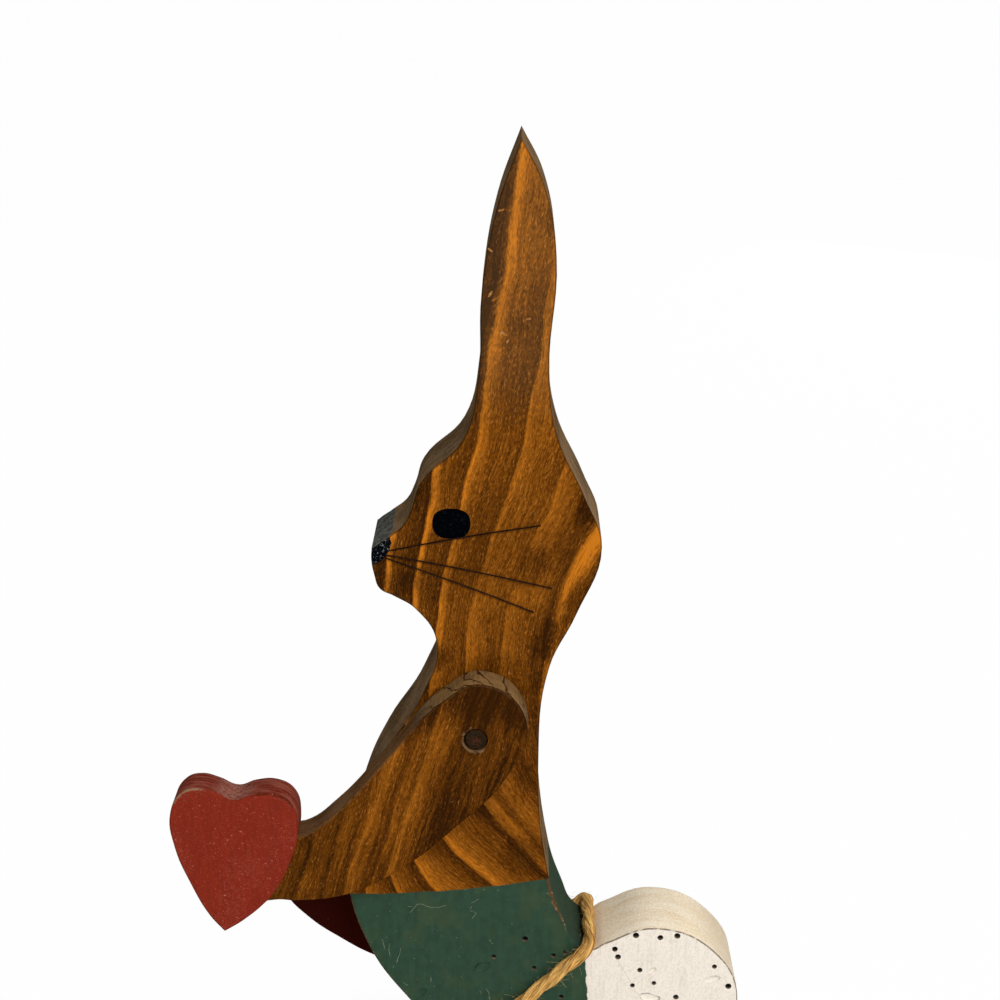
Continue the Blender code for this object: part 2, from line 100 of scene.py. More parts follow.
ARM_GRAIN = (
    (-34.0, 0.34), (-28.6, 0.28), (-27.9, 0.42), (-23.2, 0.30), (-22.6, 0.42), (-18.6, 0.38), (-18.0, 0.64),
    (-14.8, 0.46), (-13.2, 0.34), (-12.6, 0.52), (-10.4, 0.42), (-9.6, 0.64), (-6.2, 0.50), (-4.4, 0.36),
    (-3.2, 0.26), (0.6, 0.22), (2.2, 0.36), (5.4, 0.34), (7.6, 0.26), (10.0, 0.34), (16.0, 0.30),
)
BASE_GRAIN = (
    (-40.0, 0.40), (-31.0, 0.12), (-30.2, 0.80), (-22.0, 0.16), (-21.4, 0.74), (-12.0, 0.20), (-11.4, 0.84),
    (-1.0, 0.14), (-0.4, 0.72), (9.0, 0.22), (9.6, 0.86), (19.0, 0.16), (19.6, 0.70), (28.0, 0.20),
    (28.6, 0.80), (38.0, 0.36),
)

# Patches where the board is darker, as (across, up, half breadth, half height, depth), or paler below zero;
# the last two are painted shadow, the shade of the front arm on the chest above its upper edge.
DARK_PATCHES_AND_SHADOWS = (
    (12.9, 195.9, 4.0, 5.6, 0.50), (25.2, 211.0, 3.6, 6.0, 0.70), (16.6, 177.6, 4.2, 6.4, 0.70),
    (-17.0, 191.6, 5.0, 3.8, 0.30), (-8.2, 173.2, 2.6, 3.4, 0.50), (4.0, 171.0, 6.0, 4.2, 0.32),
    (-11.5, 212.9, 2.8, 4.6, 0.40), (22.4, 187.0, 2.6, 6.4, 0.50), (25.0, 200.6, 4.2, 7.0, -0.30),
    (15.2, 189.6, 2.6, 6.4, -0.35), (17.8, 210.2, 3.2, 6.4, -0.12), (14.0, 149.8, 4.0, 15.0, 0.42),
    (12.0, 122.0, 7.0, 6.0, 0.36), (8.6, 240.0, 7.0, 15.0, 0.16), (2.0, 201.0, 9.0, 14.0, 0.20),
    (-12.8, 157.8, 1.7, 3.4, 0.85), (-9.6, 162.2, 1.6, 3.4, 0.75),
)
# Worm holes that show on the front, in millimetres across and up.
TAIL_HOLES = (
    (38.6, 99.9), (44.5, 99.3), (48.6, 99.8), (33.6, 96.0), (34.4, 93.8), (39.8, 90.1), (43.3, 86.4),
    (38.1, 85.7), (57.9, 91.2), (61.5, 85.6), (48.8, 82.4),
)
TROUSER_HOLES = (
    (11.8, 98.7), (4.2, 93.6), (18.7, 94.1), (14.0, 90.5), (14.5, 88.3), (20.7, 82.3), (21.6, 94.9),
)
# Dents as (across, up, length, breadth, turn in degrees).
DENTS = (
    (1.6, 90.7, 3.8, 2.4, 30.0), (-13.5, 83.4, 3.2, 1.8, 40.0), (7.2, 142.0, 4.6, 1.2, -58.0),
    (42.8, 89.9, 2.2, 1.2, 40.0), (57.4, 87.5, 4.0, 1.6, 15.0), (42.4, 82.3, 4.6, 2.0, -10.0),
    (-1.5, 47.0, 2.4, 1.4, 25.0), (16.0, 78.0, 2.0, 1.2, -40.0),
)
# Nicks that tore pale fibres, in the same terms.
NICKS = (
    (6.0, 275.9, 1.5, 0.5, 15.0), (3.6, 267.5, 1.4, 0.5, -35.0), (3.7, 258.0, 1.7, 0.6, 55.0),
    (4.6, 256.8, 1.2, 0.5, 35.0), (6.6, 249.3, 1.6, 0.8, -20.0), (7.4, 247.6, 1.1, 0.5, 60.0),
    (11.9, 252.6, 1.2, 0.5, 10.0),
)
# Scratches in the green paint, each from one point to the next.
SCRATCHES = (
    ((-15.9, 106.0), (-13.9, 108.6)), ((-13.9, 108.6), (-11.6, 107.8)), ((-11.6, 107.8), (-8.7, 107.4)),
    ((-8.7, 107.4), (-7.3, 108.0)), ((-1.2, 108.7), (0.4, 109.6)), ((-1.0, 107.9), (-1.5, 107.0)),
    ((-1.5, 106.4), (0.0, 105.9)), ((0.0, 105.9), (-1.0, 104.3)), ((-19.4, 91.8), (-18.4, 96.0)),
    ((-22.6, 98.5), (-22.2, 95.4)), ((-21.2, 97.1), (-20.8, 93.7)), ((-18.0, 86.1), (-16.8, 85.3)),
    ((2.4, 84.7), (3.3, 81.3)), ((0.8, 84.2), (1.1, 82.7)), ((3.1, 98.4), (4.0, 97.3)),
    ((-11.1, 87.8), (-10.9, 86.6)), ((-16.6, 107.6), (-15.7, 107.3)),
)
TAIL_CRACK = ((33.6, 93.9), (40.8, 81.0))
# The tip of the nose that the black dab covers, from its upper inner corner round the front.
NOSE_TIP = (
    (-19.0, 202.5), (-21.0, 201.3), (-22.9, 199.8), (-23.1, 197.6), (-22.5, 196.2), (-21.2, 196.8),
    (-19.9, 198.1), (-18.9, 199.8), (-18.5, 201.4),
)
# In millimetres: the twine's middle in the rear and the front notch, and how it goes round the board.
REAR_SEAT = Vector((27.44, 0, 97.87))
FRONT_SEAT = Vector((-5.78, 0, 65.77))
TWINE_SIDE = 11.55
TWINE_BEND = 2.2
PLIES = 3
KNOT_SHARE = 0.72
WRAP = 1.75
# How far the two loose ends lean from straight down, in degrees, and points along them.
END_TURNS = (6, 54)
END_POINTS = (3.0, 5.5, 8.0, 10.5, 12.6)

# Lamps as (name, place, size, share of the key light's power), and the point they are aimed at.
LAMP_AIM = Vector((0.0, 0.0, 0.17))
LAMPS = (
    ("key", (0.34, -0.78, 0.92), 0.5, 1.0),
    ("fill", (0.62, -1.10, 0.42), 0.9, 0.5),
    ("side", (-1.0, -0.2, 0.6), 0.7, 0.16),
    ("rear", (0.6, 1.1, 0.35), 0.8, 0.6),
)


def srgb(red, green, blue):
    return (red / 255, green / 255, blue / 255)


def colour_property(name, description, default):
    return bpy.props.FloatVectorProperty(
        name=name, description=description, default=default, min=0, max=1, subtype="COLOR_GAMMA"
    )


def length_property(name, description, default):
    return bpy.props.FloatProperty(
        name=name, description=description, default=default, min=0, precision=5, unit="LENGTH"
    )


def number_property(name, description, default, subtype="NONE"):
    return bpy.props.FloatProperty(name=name, description=description, default=default, subtype=subtype)


class WoodSettings(bpy.types.PropertyGroup):
    amber: colour_property("Amber", "Hard lines of the grain, which take little stain", srgb(184, 107, 22))
    honey: colour_property("Honey", "Stained wood beside a hard line", srgb(138, 80, 17))
    brown: colour_property("Brown", "Stained wood between the lines", srgb(95, 52, 7))
    umber: colour_property("Umber", "Soft wood that drank the stain", srgb(45, 22, 3))
    fleck: colour_property("Fleck", "Short pale fibres", srgb(190, 134, 70))
    sawn: colour_property("Sawn edge", "Greyed wood of the sawn edges", srgb(137, 113, 84))
    sawn_dark: colour_property("Sawn edge grain", "Dark grain in the sawn edges", srgb(79, 62, 42))
    arris: length_property("Eased arris", "How far the arrises are sanded back", 0.0004)
    arm_grain: number_property("Arm grain", "Lean of the front arm's grain", math.radians(17), "ANGLE")


class PaintSettings(bpy.types.PropertyGroup):
    trousers: colour_property("Trousers", "Green paint below the waist line", srgb(47, 70, 54))
    tail: colour_property("Tail", "White paint of the tail", srgb(230, 221, 208))
    tail_side: colour_property("Tail edge", "White paint on the sawn edge", srgb(255, 244, 222))
    grime: colour_property("Grime", "Dirt that settled on the white", srgb(232, 207, 168))
    heart: colour_property("Heart", "Red paint of the hearts", srgb(129, 40, 24))
    heart_worn: colour_property("Heart wear", "Rubbed red paint on the edges", srgb(138, 78, 64))
    black: colour_property("Black", "Enamel of the eyes and the nose", srgb(2, 3, 6))
    hole: length_property("Worm hole", "Diameter of a worm hole", 0.00145)
    hole_depth: length_property("Worm hole depth", "How far a worm hole goes in", 0.0026)
    dent_depth: length_property("Dent depth", "How far a dent goes in", 0.00035)


class TwineSettings(bpy.types.PropertyGroup):
    # The dark tone is partly darker fibres and partly painted shade of the creases.
    jute: colour_property("Jute", "Lit side of the twine", srgb(238, 186, 106))
    jute_dark_and_shade: colour_property("Jute shade", "Creases of the twine", srgb(120, 72, 22))
    diameter: length_property("Diameter", "Across the three plies", 0.0035)
    pitch: length_property("Pitch", "Length of one turn of the plies", 0.024)
    fibre: length_property("Fibre", "Length of a stray fibre", 0.0042)
    fibres: bpy.props.IntProperty(name="Fibres", description="Stray fibres on the loop", default=200, min=0)


class StudioSettings(bpy.types.PropertyGroup):
    eye: bpy.props.FloatVectorProperty(
        name="Camera",
        description="Where the camera stands",
        default=(0.009, -0.38437, 0.34506),
        subtype="XYZ",
    )
    pitch: number_property("Look down", "Camera below level", math.radians(19.606), "ANGLE")
    yaw: number_property("Look aside", "Camera turned to the left", math.radians(0.5), "ANGLE")
    lens: number_property("Lens", "Focal length in millimetres", 64.8)
    key: number_property("Key light", "Power of the soft key light", 9.8)
    sky: number_property("Room light", "Strength of the even room light", 0.22)


class Wire:
    """A node socket. Arithmetic on it adds Math nodes, and node() adds any other node to its tree."""

    def __init__(self, tree, socket=None):
        self.tree = tree
        self.socket = socket

    def node(self, kind, sockets=None, settings=None, out=0):
        item = self.tree.nodes.new(kind)
        for name, value in (settings or {}).items():
            if name == "stops":
                set_stops(item.color_ramp, value)
            else:
                setattr(item, name, value)
        for name, value in (sockets or {}).items():
            if isinstance(value, Wire):
                self.tree.links.new(value.socket, item.inputs[name])
            else:
                item.inputs[name].default_value = value
        return Wire(self.tree, item.outputs[out])

    def math(self, operation, *values):
        return self.node("ShaderNodeMath", dict(enumerate(values)), {"operation": operation})

    def __add__(self, other):
        return self.math("ADD", self, other)

    def __radd__(self, other):
        return self.math("ADD", other, self)

    def __sub__(self, other):
        return self.math("SUBTRACT", self, other)

    def __rsub__(self, other):
        return self.math("SUBTRACT", other, self)

    def __mul__(self, other):
        return self.math("MULTIPLY", self, other)

    def __rmul__(self, other):
        return self.math("MULTIPLY", other, self)

    def __truediv__(self, other):
        return self.math("DIVIDE", self, other)

    def __rtruediv__(self, other):
        return self.math("DIVIDE", other, self)

    def __pow__(self, other):
        return self.math("POWER", self, other)

    def __abs__(self):
        return self.math("ABSOLUTE", self)


def set_stops(ramp, stops):
    while len(ramp.elements) > 1:
        ramp.elements.remove(ramp.elements[-1])
    for index, (place, colour) in enumerate(stops):
        element = ramp.elements[0] if index == 0 else ramp.elements.new(place)
        element.position = place
        element.color = colour


def linear(colour, gain=1.0):
    """A colour as it is seen, made lighter or darker, and turned to the values that a shader takes."""
    seen = [min(1.0, c * gain) for c in colour]
    return (*[c / 12.92 if c <= 0.04045 else ((c + 0.055) / 1.055) ** 2.4 for c in seen], 1.0)


def tint(red, green, blue):
    return linear(srgb(red, green, blue))


def smooth(value, low, high):
    """Zero below low, one above high, with a soft step between them."""
    sockets = {"Value": value, "From Min": low, "From Max": high}
    return value.node("ShaderNodeMapRange", sockets, {"interpolation_type": "SMOOTHSTEP"})


def fade(value, low, high):
    """One below low, zero above high, with a soft step between them."""
    return 1.0 - smooth(value, low, high)


def largest(wires):
    """The largest of several values, at each point."""
    top = wires[0]
    for wire in wires[1:]:
        top = wire.math("MAXIMUM", top, wire)
    return top


def mix(factor, first, second):
    return factor.node("ShaderNodeMix", {0: factor, 6: first, 7: second}, {"data_type": "RGBA"}, out=2)


def grey_ramp(value, rows):
    """A tone that runs through hand-set rows of (place, tone), from the first place to the last."""
    low = rows[0][0]
    span = rows[-1][0] - low
    stops = [((place - low) / span, (tone, tone, tone, 1.0)) for place, tone in rows]
    return value.node("ShaderNodeValToRGB", {"Fac": (value - low) / span}, {"stops": stops})


def cloud(spot, scale, detail=3.0, rough=0.55):
    """Noise at a spot of three wires; the scale is one number, or one for each wire."""
    scales = scale if isinstance(scale, tuple) else (scale, scale, scale)
    parts = [wire * factor for wire, factor in zip(spot, scales)]
    place = spot[0].node("ShaderNodeCombineXYZ", dict(zip("XYZ", parts)))
    sockets = {"Vector": place, "Scale": 1.0, "Detail": detail, "Roughness": rough}
    return place.node("ShaderNodeTexNoise", sockets, {"noise_dimensions": "3D"})


def softplus(value, knee, width):
    """Grows in step with value above the knee, and fades to nothing below it."""
    swell = value.math("EXPONENT", (value - knee) / width)
    return value.math("LOGARITHM", swell + 1.0, math.e) * width


def new_finish(name):
    """A new material, and a wire to build it with."""
    material = bpy.data.materials.new(name)
    material.use_nodes = True
    return material, Wire(material.node_tree)


def millimetres(wire):
    """Across, through and up the object, in millimetres."""
    place = wire.node("ShaderNodeTexCoord", out="Object")
    split = place.node("ShaderNodeSeparateXYZ", {"Vector": place})
    return [Wire(wire.tree, output) * 1000.0 for output in split.socket.node.outputs]


def facing(wire, axis):
    """How squarely a surface faces along an axis: along Y, one on a board's faces, zero on sawn edges."""
    normal = wire.node("ShaderNodeTexCoord", out="Normal")
    return abs(normal.node("ShaderNodeSeparateXYZ", {"Vector": normal}, out=axis))


def connect(
    material, colour, roughness, height=None, strength=0.3, distance=0.0002, sheen=None, specular=None
):
    """Links a finish to its shader; a sheen makes it a matte surface under a thin coat."""
    links = material.node_tree.links
    inputs = material.node_tree.nodes["Principled BSDF"].inputs
    links.new(colour.socket, inputs["Base Color"])
    links.new(roughness.socket, inputs["Roughness"])
    if sheen is not None:
        specular = 0.0
        inputs["Coat Roughness"].default_value = 0.4
        links.new(sheen.socket, inputs["Coat Weight"])
    if specular is not None:
        inputs["Specular IOR Level"].default_value = specular
    if height is not None:
        sockets = {"Strength": strength, "Distance": distance, "Height": height}
        links.new(height.node("ShaderNodeBump", sockets).socket, inputs["Normal"])


def pine(wood, grain, tone, fibrous=0.95, gritty=0.9):
    """Stained pine: colour, roughness and height, for places across, through and along the grain."""
    fibre = cloud(grain, (1.6, 1.6, 0.07), 5.0, 0.7)
    grit = cloud(grain, (2.4, 2.4, 0.8), 4.0, 0.72)
    pore = cloud(grain, (3.2, 3.2, 0.16), 2.0, 0.5)
    blotch = cloud(grain, (0.13, 0.13, 0.07), 4.0, 0.62)
    speck = cloud(grain, (2.8, 2.8, 0.50), 2.0, 0.5)
    sand = cloud(grain, (4.4, 4.4, 1.1), 2.0, 0.6)
    smudge = smooth(blotch + (fibre - 0.5) * 0.22, 0.56, 0.68)
    depth = tone * 1.2 - 0.12 - smudge * 0.12
    depth = depth + (fibre - 0.5) * fibrous + ((grit - 0.5) * 0.65 + (sand - 0.5) * 1.05) * gritty
    depth = largest([depth, (fibre - 0.5) * 0.7 + (sand - 0.5) * 0.5 + 0.02])
    shades = ((0.0, wood.umber), (0.38, wood.brown), (0.70, wood.honey), (1.0, wood.amber))
    stops = [(place, linear(shade)) for place, shade in shades]
    colour = depth.node("ShaderNodeValToRGB", {"Fac": depth}, {"stops": stops})
    colour = mix(smooth(pore, 0.60, 0.74) * 0.55, colour, linear(wood.umber))
    pale = smooth(speck, 0.66, 0.76) * 0.3 + smooth(sand, 0.60, 0.78) * 0.36
    colour = mix(pale * smooth(depth, 0.08, 0.5), colour, linear(wood.fleck))
    roughness = 0.58 + (grit - 0.5) * 0.3
    height = fibre * 0.6 + grit * 0.4
    return colour, roughness, height


def sawn_edge(wood, spot):
    """Greyed wood of a sawn edge: fine streaks that follow the edge all round, and grit."""
    layer = cloud(spot, (0.10, 0.9, 0.10), 5.0, 0.7)
    grit = cloud(spot, (1.3, 2.2, 1.3), 4.0, 0.72)
    patch = cloud(spot, (0.09, 0.05, 0.09), 2.0)
    tone = smooth(layer * 0.5 + grit * 0.5 + (patch - 0.5) * 0.35, 0.36, 0.66)
    return mix(tone, linear(wood.sawn_dark), linear(wood.sawn))


def segment(x, z, first, last, width):
    """One along a thin straight scratch between two points, zero elsewhere."""
    dx = last[0] - first[0]
    dz = last[1] - first[1]
    length = math.hypot(dx, dz)
    along = (x - first[0]) * (dx / length) + (z - first[1]) * (dz / length)
    aside = abs((z - first[1]) * (dx / length) - (x - first[0]) * (dz / length))
    ends = smooth(along, -0.2, 0.2) * fade(along, length - 0.2, length + 0.2)
    return ends * fade(aside, width * 0.5, width)


def dent_outline(x, z, chip):
    """Thin lines round the dents of the front, broken here and there."""
    rings = []
    for dent_x, dent_z, length, breadth, turn in DENTS:
        cos = math.cos(math.radians(turn))
        sin = math.sin(math.radians(turn))
        along = ((x - dent_x) * cos + (z - dent_z) * sin) / (length / 2)
        aside = ((z - dent_z) * cos - (x - dent_x) * sin) / (breadth / 2)
        ring = abs((along ** 2.0 + aside ** 2.0) ** 0.5 - 0.95 + (chip - 0.5) * 1.5)
        rings.append(fade(ring, 0.04, 0.24) * smooth(aside + along * 0.5, -1.0, 0.6))
    return largest(rings)


def body_grain(x, z):
    """How far across the board a point lies, along grain that leans in the head and sweeps in the torso."""
    rise = softplus(z, 184.0, 5.0) - softplus(z, 220.0, 5.0)
    head_lean = rise * 0.15 + (rise - 7.5) * x * 0.0092 + 0.9
    below_arm = softplus(x * 0.73 - z, -135.8, 2.0)
    torso_sweep = softplus(0.0 - z, -142.0, 8.0) * 1.15 - below_arm * softplus(0.0 - x, 0.0, 3.0) * 0.033
    return x - (z - 180.0) * 0.11 - head_lean - torso_sweep


def painted_board_finish(name, wood, paint, wear):
    """The rabbit's board: stained head and torso, green trousers, white tail and sooty snout, with the front
    arm's shadow painted on the chest.
    """
    material, wire = new_finish(name)
    spot = millimetres(wire)
    x, y, z = spot
    flat = facing(wire, "Y")
    wander = cloud(spot, (0.07, 0.07, 0.05), 2.0)
    across = body_grain(x, z) + (y + FACE_Y) * 0.35 + (wander - 0.5) * 3.2
    upper = grey_ramp(across, HEAD_GRAIN)
    lower = grey_ramp(across, TORSO_GRAIN) * 0.74 + 0.13
    tone = mix(smooth(z, 146.0, 160.0), lower, upper)
    ragged = cloud(spot, (0.9, 0.9, 0.16), 4.0, 0.66)
    # Darker and paler patches; the last two rows paint the front arm's shadow on the chest.
    for centre_x, centre_z, half_x, half_z, dark in DARK_PATCHES_AND_SHADOWS if wear else ():
        off_z = z - centre_z
        off_x = (x - centre_x - off_z * 0.3) / half_x
        reach = off_x ** 2.0 + (off_z / half_z) ** 2.0 + (ragged - 0.5) * 1.8
        tone = tone * (1.0 - fade(reach, -0.2, 1.4) * dark)
    on_ear = smooth(z, 226.0, 244.0)
    tone = tone - on_ear * fade(across, -12.2, -10.8) * 0.30
    tone = tone + smooth(z, 250.0, 274.0) * 0.08
    colour, roughness, height = pine(wood, (across, y, z), tone)
    # A faint pale tan over the ear: dust, and a painted sheen.
    colour = mix(on_ear * 0.045, colour, tint(168, 142, 104))
    is_edge = fade(flat, 0.24, 0.62)
    is_arris = smooth(flat, 0.15, 0.5) * fade(flat, 0.86, 0.985) * wear
    sawn = sawn_edge(wood, spot)
    colour = mix(is_edge * 0.92, colour, sawn)
    colour = mix(is_arris * 0.6, colour, linear(wood.umber))

    hand = cloud(spot, 0.35, 3.0)
    rub = cloud(spot, 0.8, 4.0, 0.65)
    scuff = cloud(spot, 0.16, 2.0)
    waist = (x + 30.0) ** 2.0 * 0.002 + 111.1 + (hand - 0.5) * 0.8
    trousers = smooth(waist - z, -0.15, 0.15) * smooth(z + (hand - 0.5) * 1.2, 39.9, 40.2)
    green = trouser_paint(paint, spot, is_edge, wear)
    rear_arris = (115.2 - z) * 0.16 + (115.2 - z) ** 2.0 * 0.0173 + 17.4
    bare = smooth(x - rear_arris + (rub - 0.5) * 2.0, -0.9, -0.5) * smooth(flat, 0.3, 0.6)
    bare = bare * smooth(z, 97.0, 98.5) * fade(z, 116.5, 119.0)
    front_arris = fade(x, -22.0, -18.0)
    worn = is_arris * smooth(rub + (scuff - 0.5) * 0.6 + front_arris * 0.1, 0.48, 0.56)
    worn = largest([worn, bare * wear])
    colour = mix(trousers * (1.0 - worn), colour, green)
    worn_wood = mix(smooth(rub, 0.48, 0.66), linear(wood.sawn_dark), linear(wood.sawn))
    colour = mix(trousers * worn * 0.85, colour, worn_wood)

    across_tail = ((x - TAIL[0]) ** 2.0 + (z - TAIL[1]) ** 2.0) ** 0.5
    seam = x - 27.0 + (z - 82.0) * 0.06 + (hand - 0.5) * 1.4
    tail = smooth(21.5 - across_tail, 0.0, 0.25) * smooth(seam, 0.0, 0.3)
    white = tail_paint_and_shade(paint, spot, is_edge)
    colour = mix(tail, colour, white)
    colour = mix(tail * is_arris * smooth(rub, 0.30, 0.52) * 0.9, colour, tint(98, 80, 58))

    painted = wire.math("MINIMUM", trousers + tail, 1.0)
    if wear:
        front = smooth(0.0 - y, 9.0, 9.2)
        dented = dent_outline(x, z, hand) * painted * front
        colour = mix(dented * 0.75, colour, mix(tail, tint(22, 34, 25), tint(112, 94, 76)))
        crack = segment(x + (rub - 0.5) * 1.2, z, *TAIL_CRACK, CRACK_WIDTH) * front
        colour = mix(crack * 0.3, colour, linear(wood.sawn_dark))

    snout = smooth(-18.6 - x + (hand - 0.5) * 1.5, -0.2, 0.2) * smooth(z, 196.3, 196.7)
    snout = snout * fade(z, 207.2, 207.6) * fade(flat, 0.55, 0.9)
    soot = mix(smooth(rub, 0.40, 0.62), tint(64, 66, 62), tint(98, 100, 94))
    colour = mix(snout * 0.96, colour, soot)

    film = mix(painted, height, hand * 0.4 + rub * 0.6)
    roughness = mix(painted, roughness, 0.52 + (rub - 0.5) * 0.4)
    sheen = smooth(flat, 0.5, 0.9) * (rub * 0.06 + painted * 0.03)
    connect(material, colour, roughness, film, 0.3, 0.00025, sheen)
    return material


def trouser_paint(paint, spot, is_edge, wear):
    """Dark green paint, softly mottled, with a few pale scratches and dots."""
    mottle = cloud(spot, (0.5, 0.5, 0.4), 5.0, 0.66)
    wash = cloud(spot, (0.9, 0.9, 0.10), 3.0, 0.6)
    tone = smooth(mottle * 0.6 + wash * 0.4, 0.36, 0.64)
    green = mix(tone, linear(paint.trousers, 0.88), linear(paint.trousers))
    olive = cloud(spot, (0.11, 0.11, 0.09), 4.0, 0.6)
    green = mix(smooth(olive, 0.48, 0.64) * 0.38, green, tint(64, 76, 50))
    pale = tint(128, 140, 112)
    dots = smooth(cloud(spot, 1.5, 2.0, 0.6), 0.715, 0.75)
    green = mix(dots * 0.45, green, pale)
    scuff = cloud(spot, 0.16, 2.0)
    hair = fade(abs(cloud(spot, (0.30, 0.30, 0.34), 2.0, 0.7) - 0.5), 0.0012, 0.003)
    green = mix(hair * smooth(scuff, 0.60, 0.66) * 0.3, green, pale)
    if wear:
        x, y, z = spot
        waver = (mottle - 0.5) * 1.6
        scratch = largest([segment(x + waver, z + waver, *ends, SCRATCH_WIDTH) for ends in SCRATCHES])
        green = mix(scratch * smooth(0.0 - y, 9.3, 9.4) * 0.5, green, tint(170, 172, 138))
    return mix(is_edge * 0.7, green, mix(mottle, tint(44, 60, 50), tint(66, 76, 60)))


def tail_paint_and_shade(paint, spot, is_edge):
    """Thin white paint with faint upright streaks, hairline cracks and grime on the sawn edge, and painted
    shade on that edge beside the twine and at its far end.
    """
    brush = cloud(spot, (1.1, 1.1, 0.09), 4.0, 0.62)
    layer = cloud(spot, (0.05, 0.34, 0.05), 3.0, 0.6)
    grit = cloud(spot, 1.6, 4.0, 0.75)
    white = mix(smooth(brush, 0.50, 0.74) * 0.34, linear(paint.tail), tint(190, 178, 164))
    crack = fade(abs(cloud(spot, (0.34, 0.34, 0.05), 2.0, 0.6) - 0.5), 0.002, 0.005)
    white = mix(crack * smooth(brush, 0.45, 0.6) * 0.35, white, linear(paint.grime))
    sand = cloud(spot, (3.0, 3.0, 1.8), 1.0, 0.6)
    white = mix(smooth(sand, 0.40, 0.72) * 0.42, white, tint(196, 186, 172))
    side = smooth(layer * 0.32 + grit * 0.30 + sand * 0.38, 0.385, 0.615)
    side = mix(side, linear(paint.grime), linear(paint.tail_side))
    # Painted shade: the sawn edge greys towards the twine and towards its far end, away from its middle.
    side = mix(smooth(abs(spot[0] - 43.0) + (layer - 0.5) * 8.0, 7.0, 19.0) * 0.4, side, tint(158, 144, 124))
    return mix(is_edge * 0.94, white, side)


def arm_finish(name, wood, turn):
    """A stained arm board with steep straight grain that turns with the arm."""
    material, wire = new_finish(name)
    spot = millimetres(wire)
    x, y, z = spot
    flat = facing(wire, "Y")
    right = (x - SHOULDER[0]) * math.cos(turn) + (z - SHOULDER[1]) * math.sin(turn)
    up = (z - SHOULDER[1]) * math.cos(turn) - (x - SHOULDER[0]) * math.sin(turn)
    wander = cloud(spot, (0.10, 0.10, 0.06), 2.0)
    lean = wood.arm_grain
    across = right * math.cos(lean) - up * math.sin(lean) + (abs(y) - 17.8) * 0.3 + (wander - 0.5) * 2.4
    along = right * math.sin(lean) + up * math.cos(lean)
    tone = grey_ramp(across, ARM_GRAIN)
    below = right * 0.648 - up * 0.762
    crown = ((right / 11.5) ** 2.0 + (up / 13.8) ** 2.0) ** 0.5
    tone = tone - smooth(below, 4.0, 11.0) * 0.08 - smooth(up, 0.0, 10.0) * 0.25 - 0.02
    # Painted shade: a darker band on the face along the upper edge of the crown.
    tone = tone - smooth(crown, 0.60, 1.0) * smooth(up, -1.0, 4.0) * 0.16
    colour, roughness, height = pine(wood, (across, y, along), tone, 1.4, 0.7)
    edge = sawn_edge(wood, spot)
    edge = mix(fade(up, -2.0, 10.0) * 0.48, edge, linear(wood.brown))
    edge = mix(smooth(up, 4.0, 10.0) * 0.6, edge, tint(140, 102, 54))
    saw = cloud(spot, (1.5, 0.2, 1.5), 3.0, 0.6)
    edge = mix(smooth(saw, 0.48, 0.68) * smooth(up, 4.0, 9.0) * 0.5, edge, linear(wood.sawn_dark))
    oblique = right * 0.24 - abs(y) * 0.13 + (wander - 0.5) * 3.0 + (saw - 0.5) * 0.5
    crack = fade(wire.math("PINGPONG", oblique, 0.5), 0.03, 0.10)
    edge = mix(crack * smooth(up, 4.0, 9.0) * 0.95, edge, linear(wood.umber))
    is_edge = fade(flat, 0.24, 0.62)
    is_arris = smooth(flat, 0.15, 0.5) * fade(flat, 0.88, 0.99)
    rub = cloud(spot, 0.9, 4.0, 0.65)
    colour = mix(is_edge * 0.95, colour, edge)
    colour = mix(is_arris * smooth(rub, 0.36, 0.56) * smooth(up - right, -6.0, 4.0) * 0.6, colour, edge)
    # Umber along the upper arrises round the crown: dirt, and painted shade under the crown's edge.
    colour = mix(is_arris * smooth(up, 2.0, 6.0) * smooth(rub, 0.30, 0.5) * 0.8, colour, linear(wood.umber))
    reach = (right ** 2.0 + up ** 2.0) ** 0.5
    is_face = smooth(flat, 0.8, 0.95)
    colour = mix(fade(reach, 2.8, 5.4) * is_face * 0.4, colour, linear(wood.umber))
    halo = smooth(reach, 2.75, 2.9) * fade(reach, 3.0, 3.2 + (rub - 0.4) * 3.0)
    halo = halo * is_face * smooth(rub - (right + up) * 0.04, 0.46, 0.6)
    colour = mix(halo * 0.45, colour, linear(wood.sawn))
    connect(material, colour, roughness, height, 0.3, 0.00025, is_face * rub * 0.06)
    return material


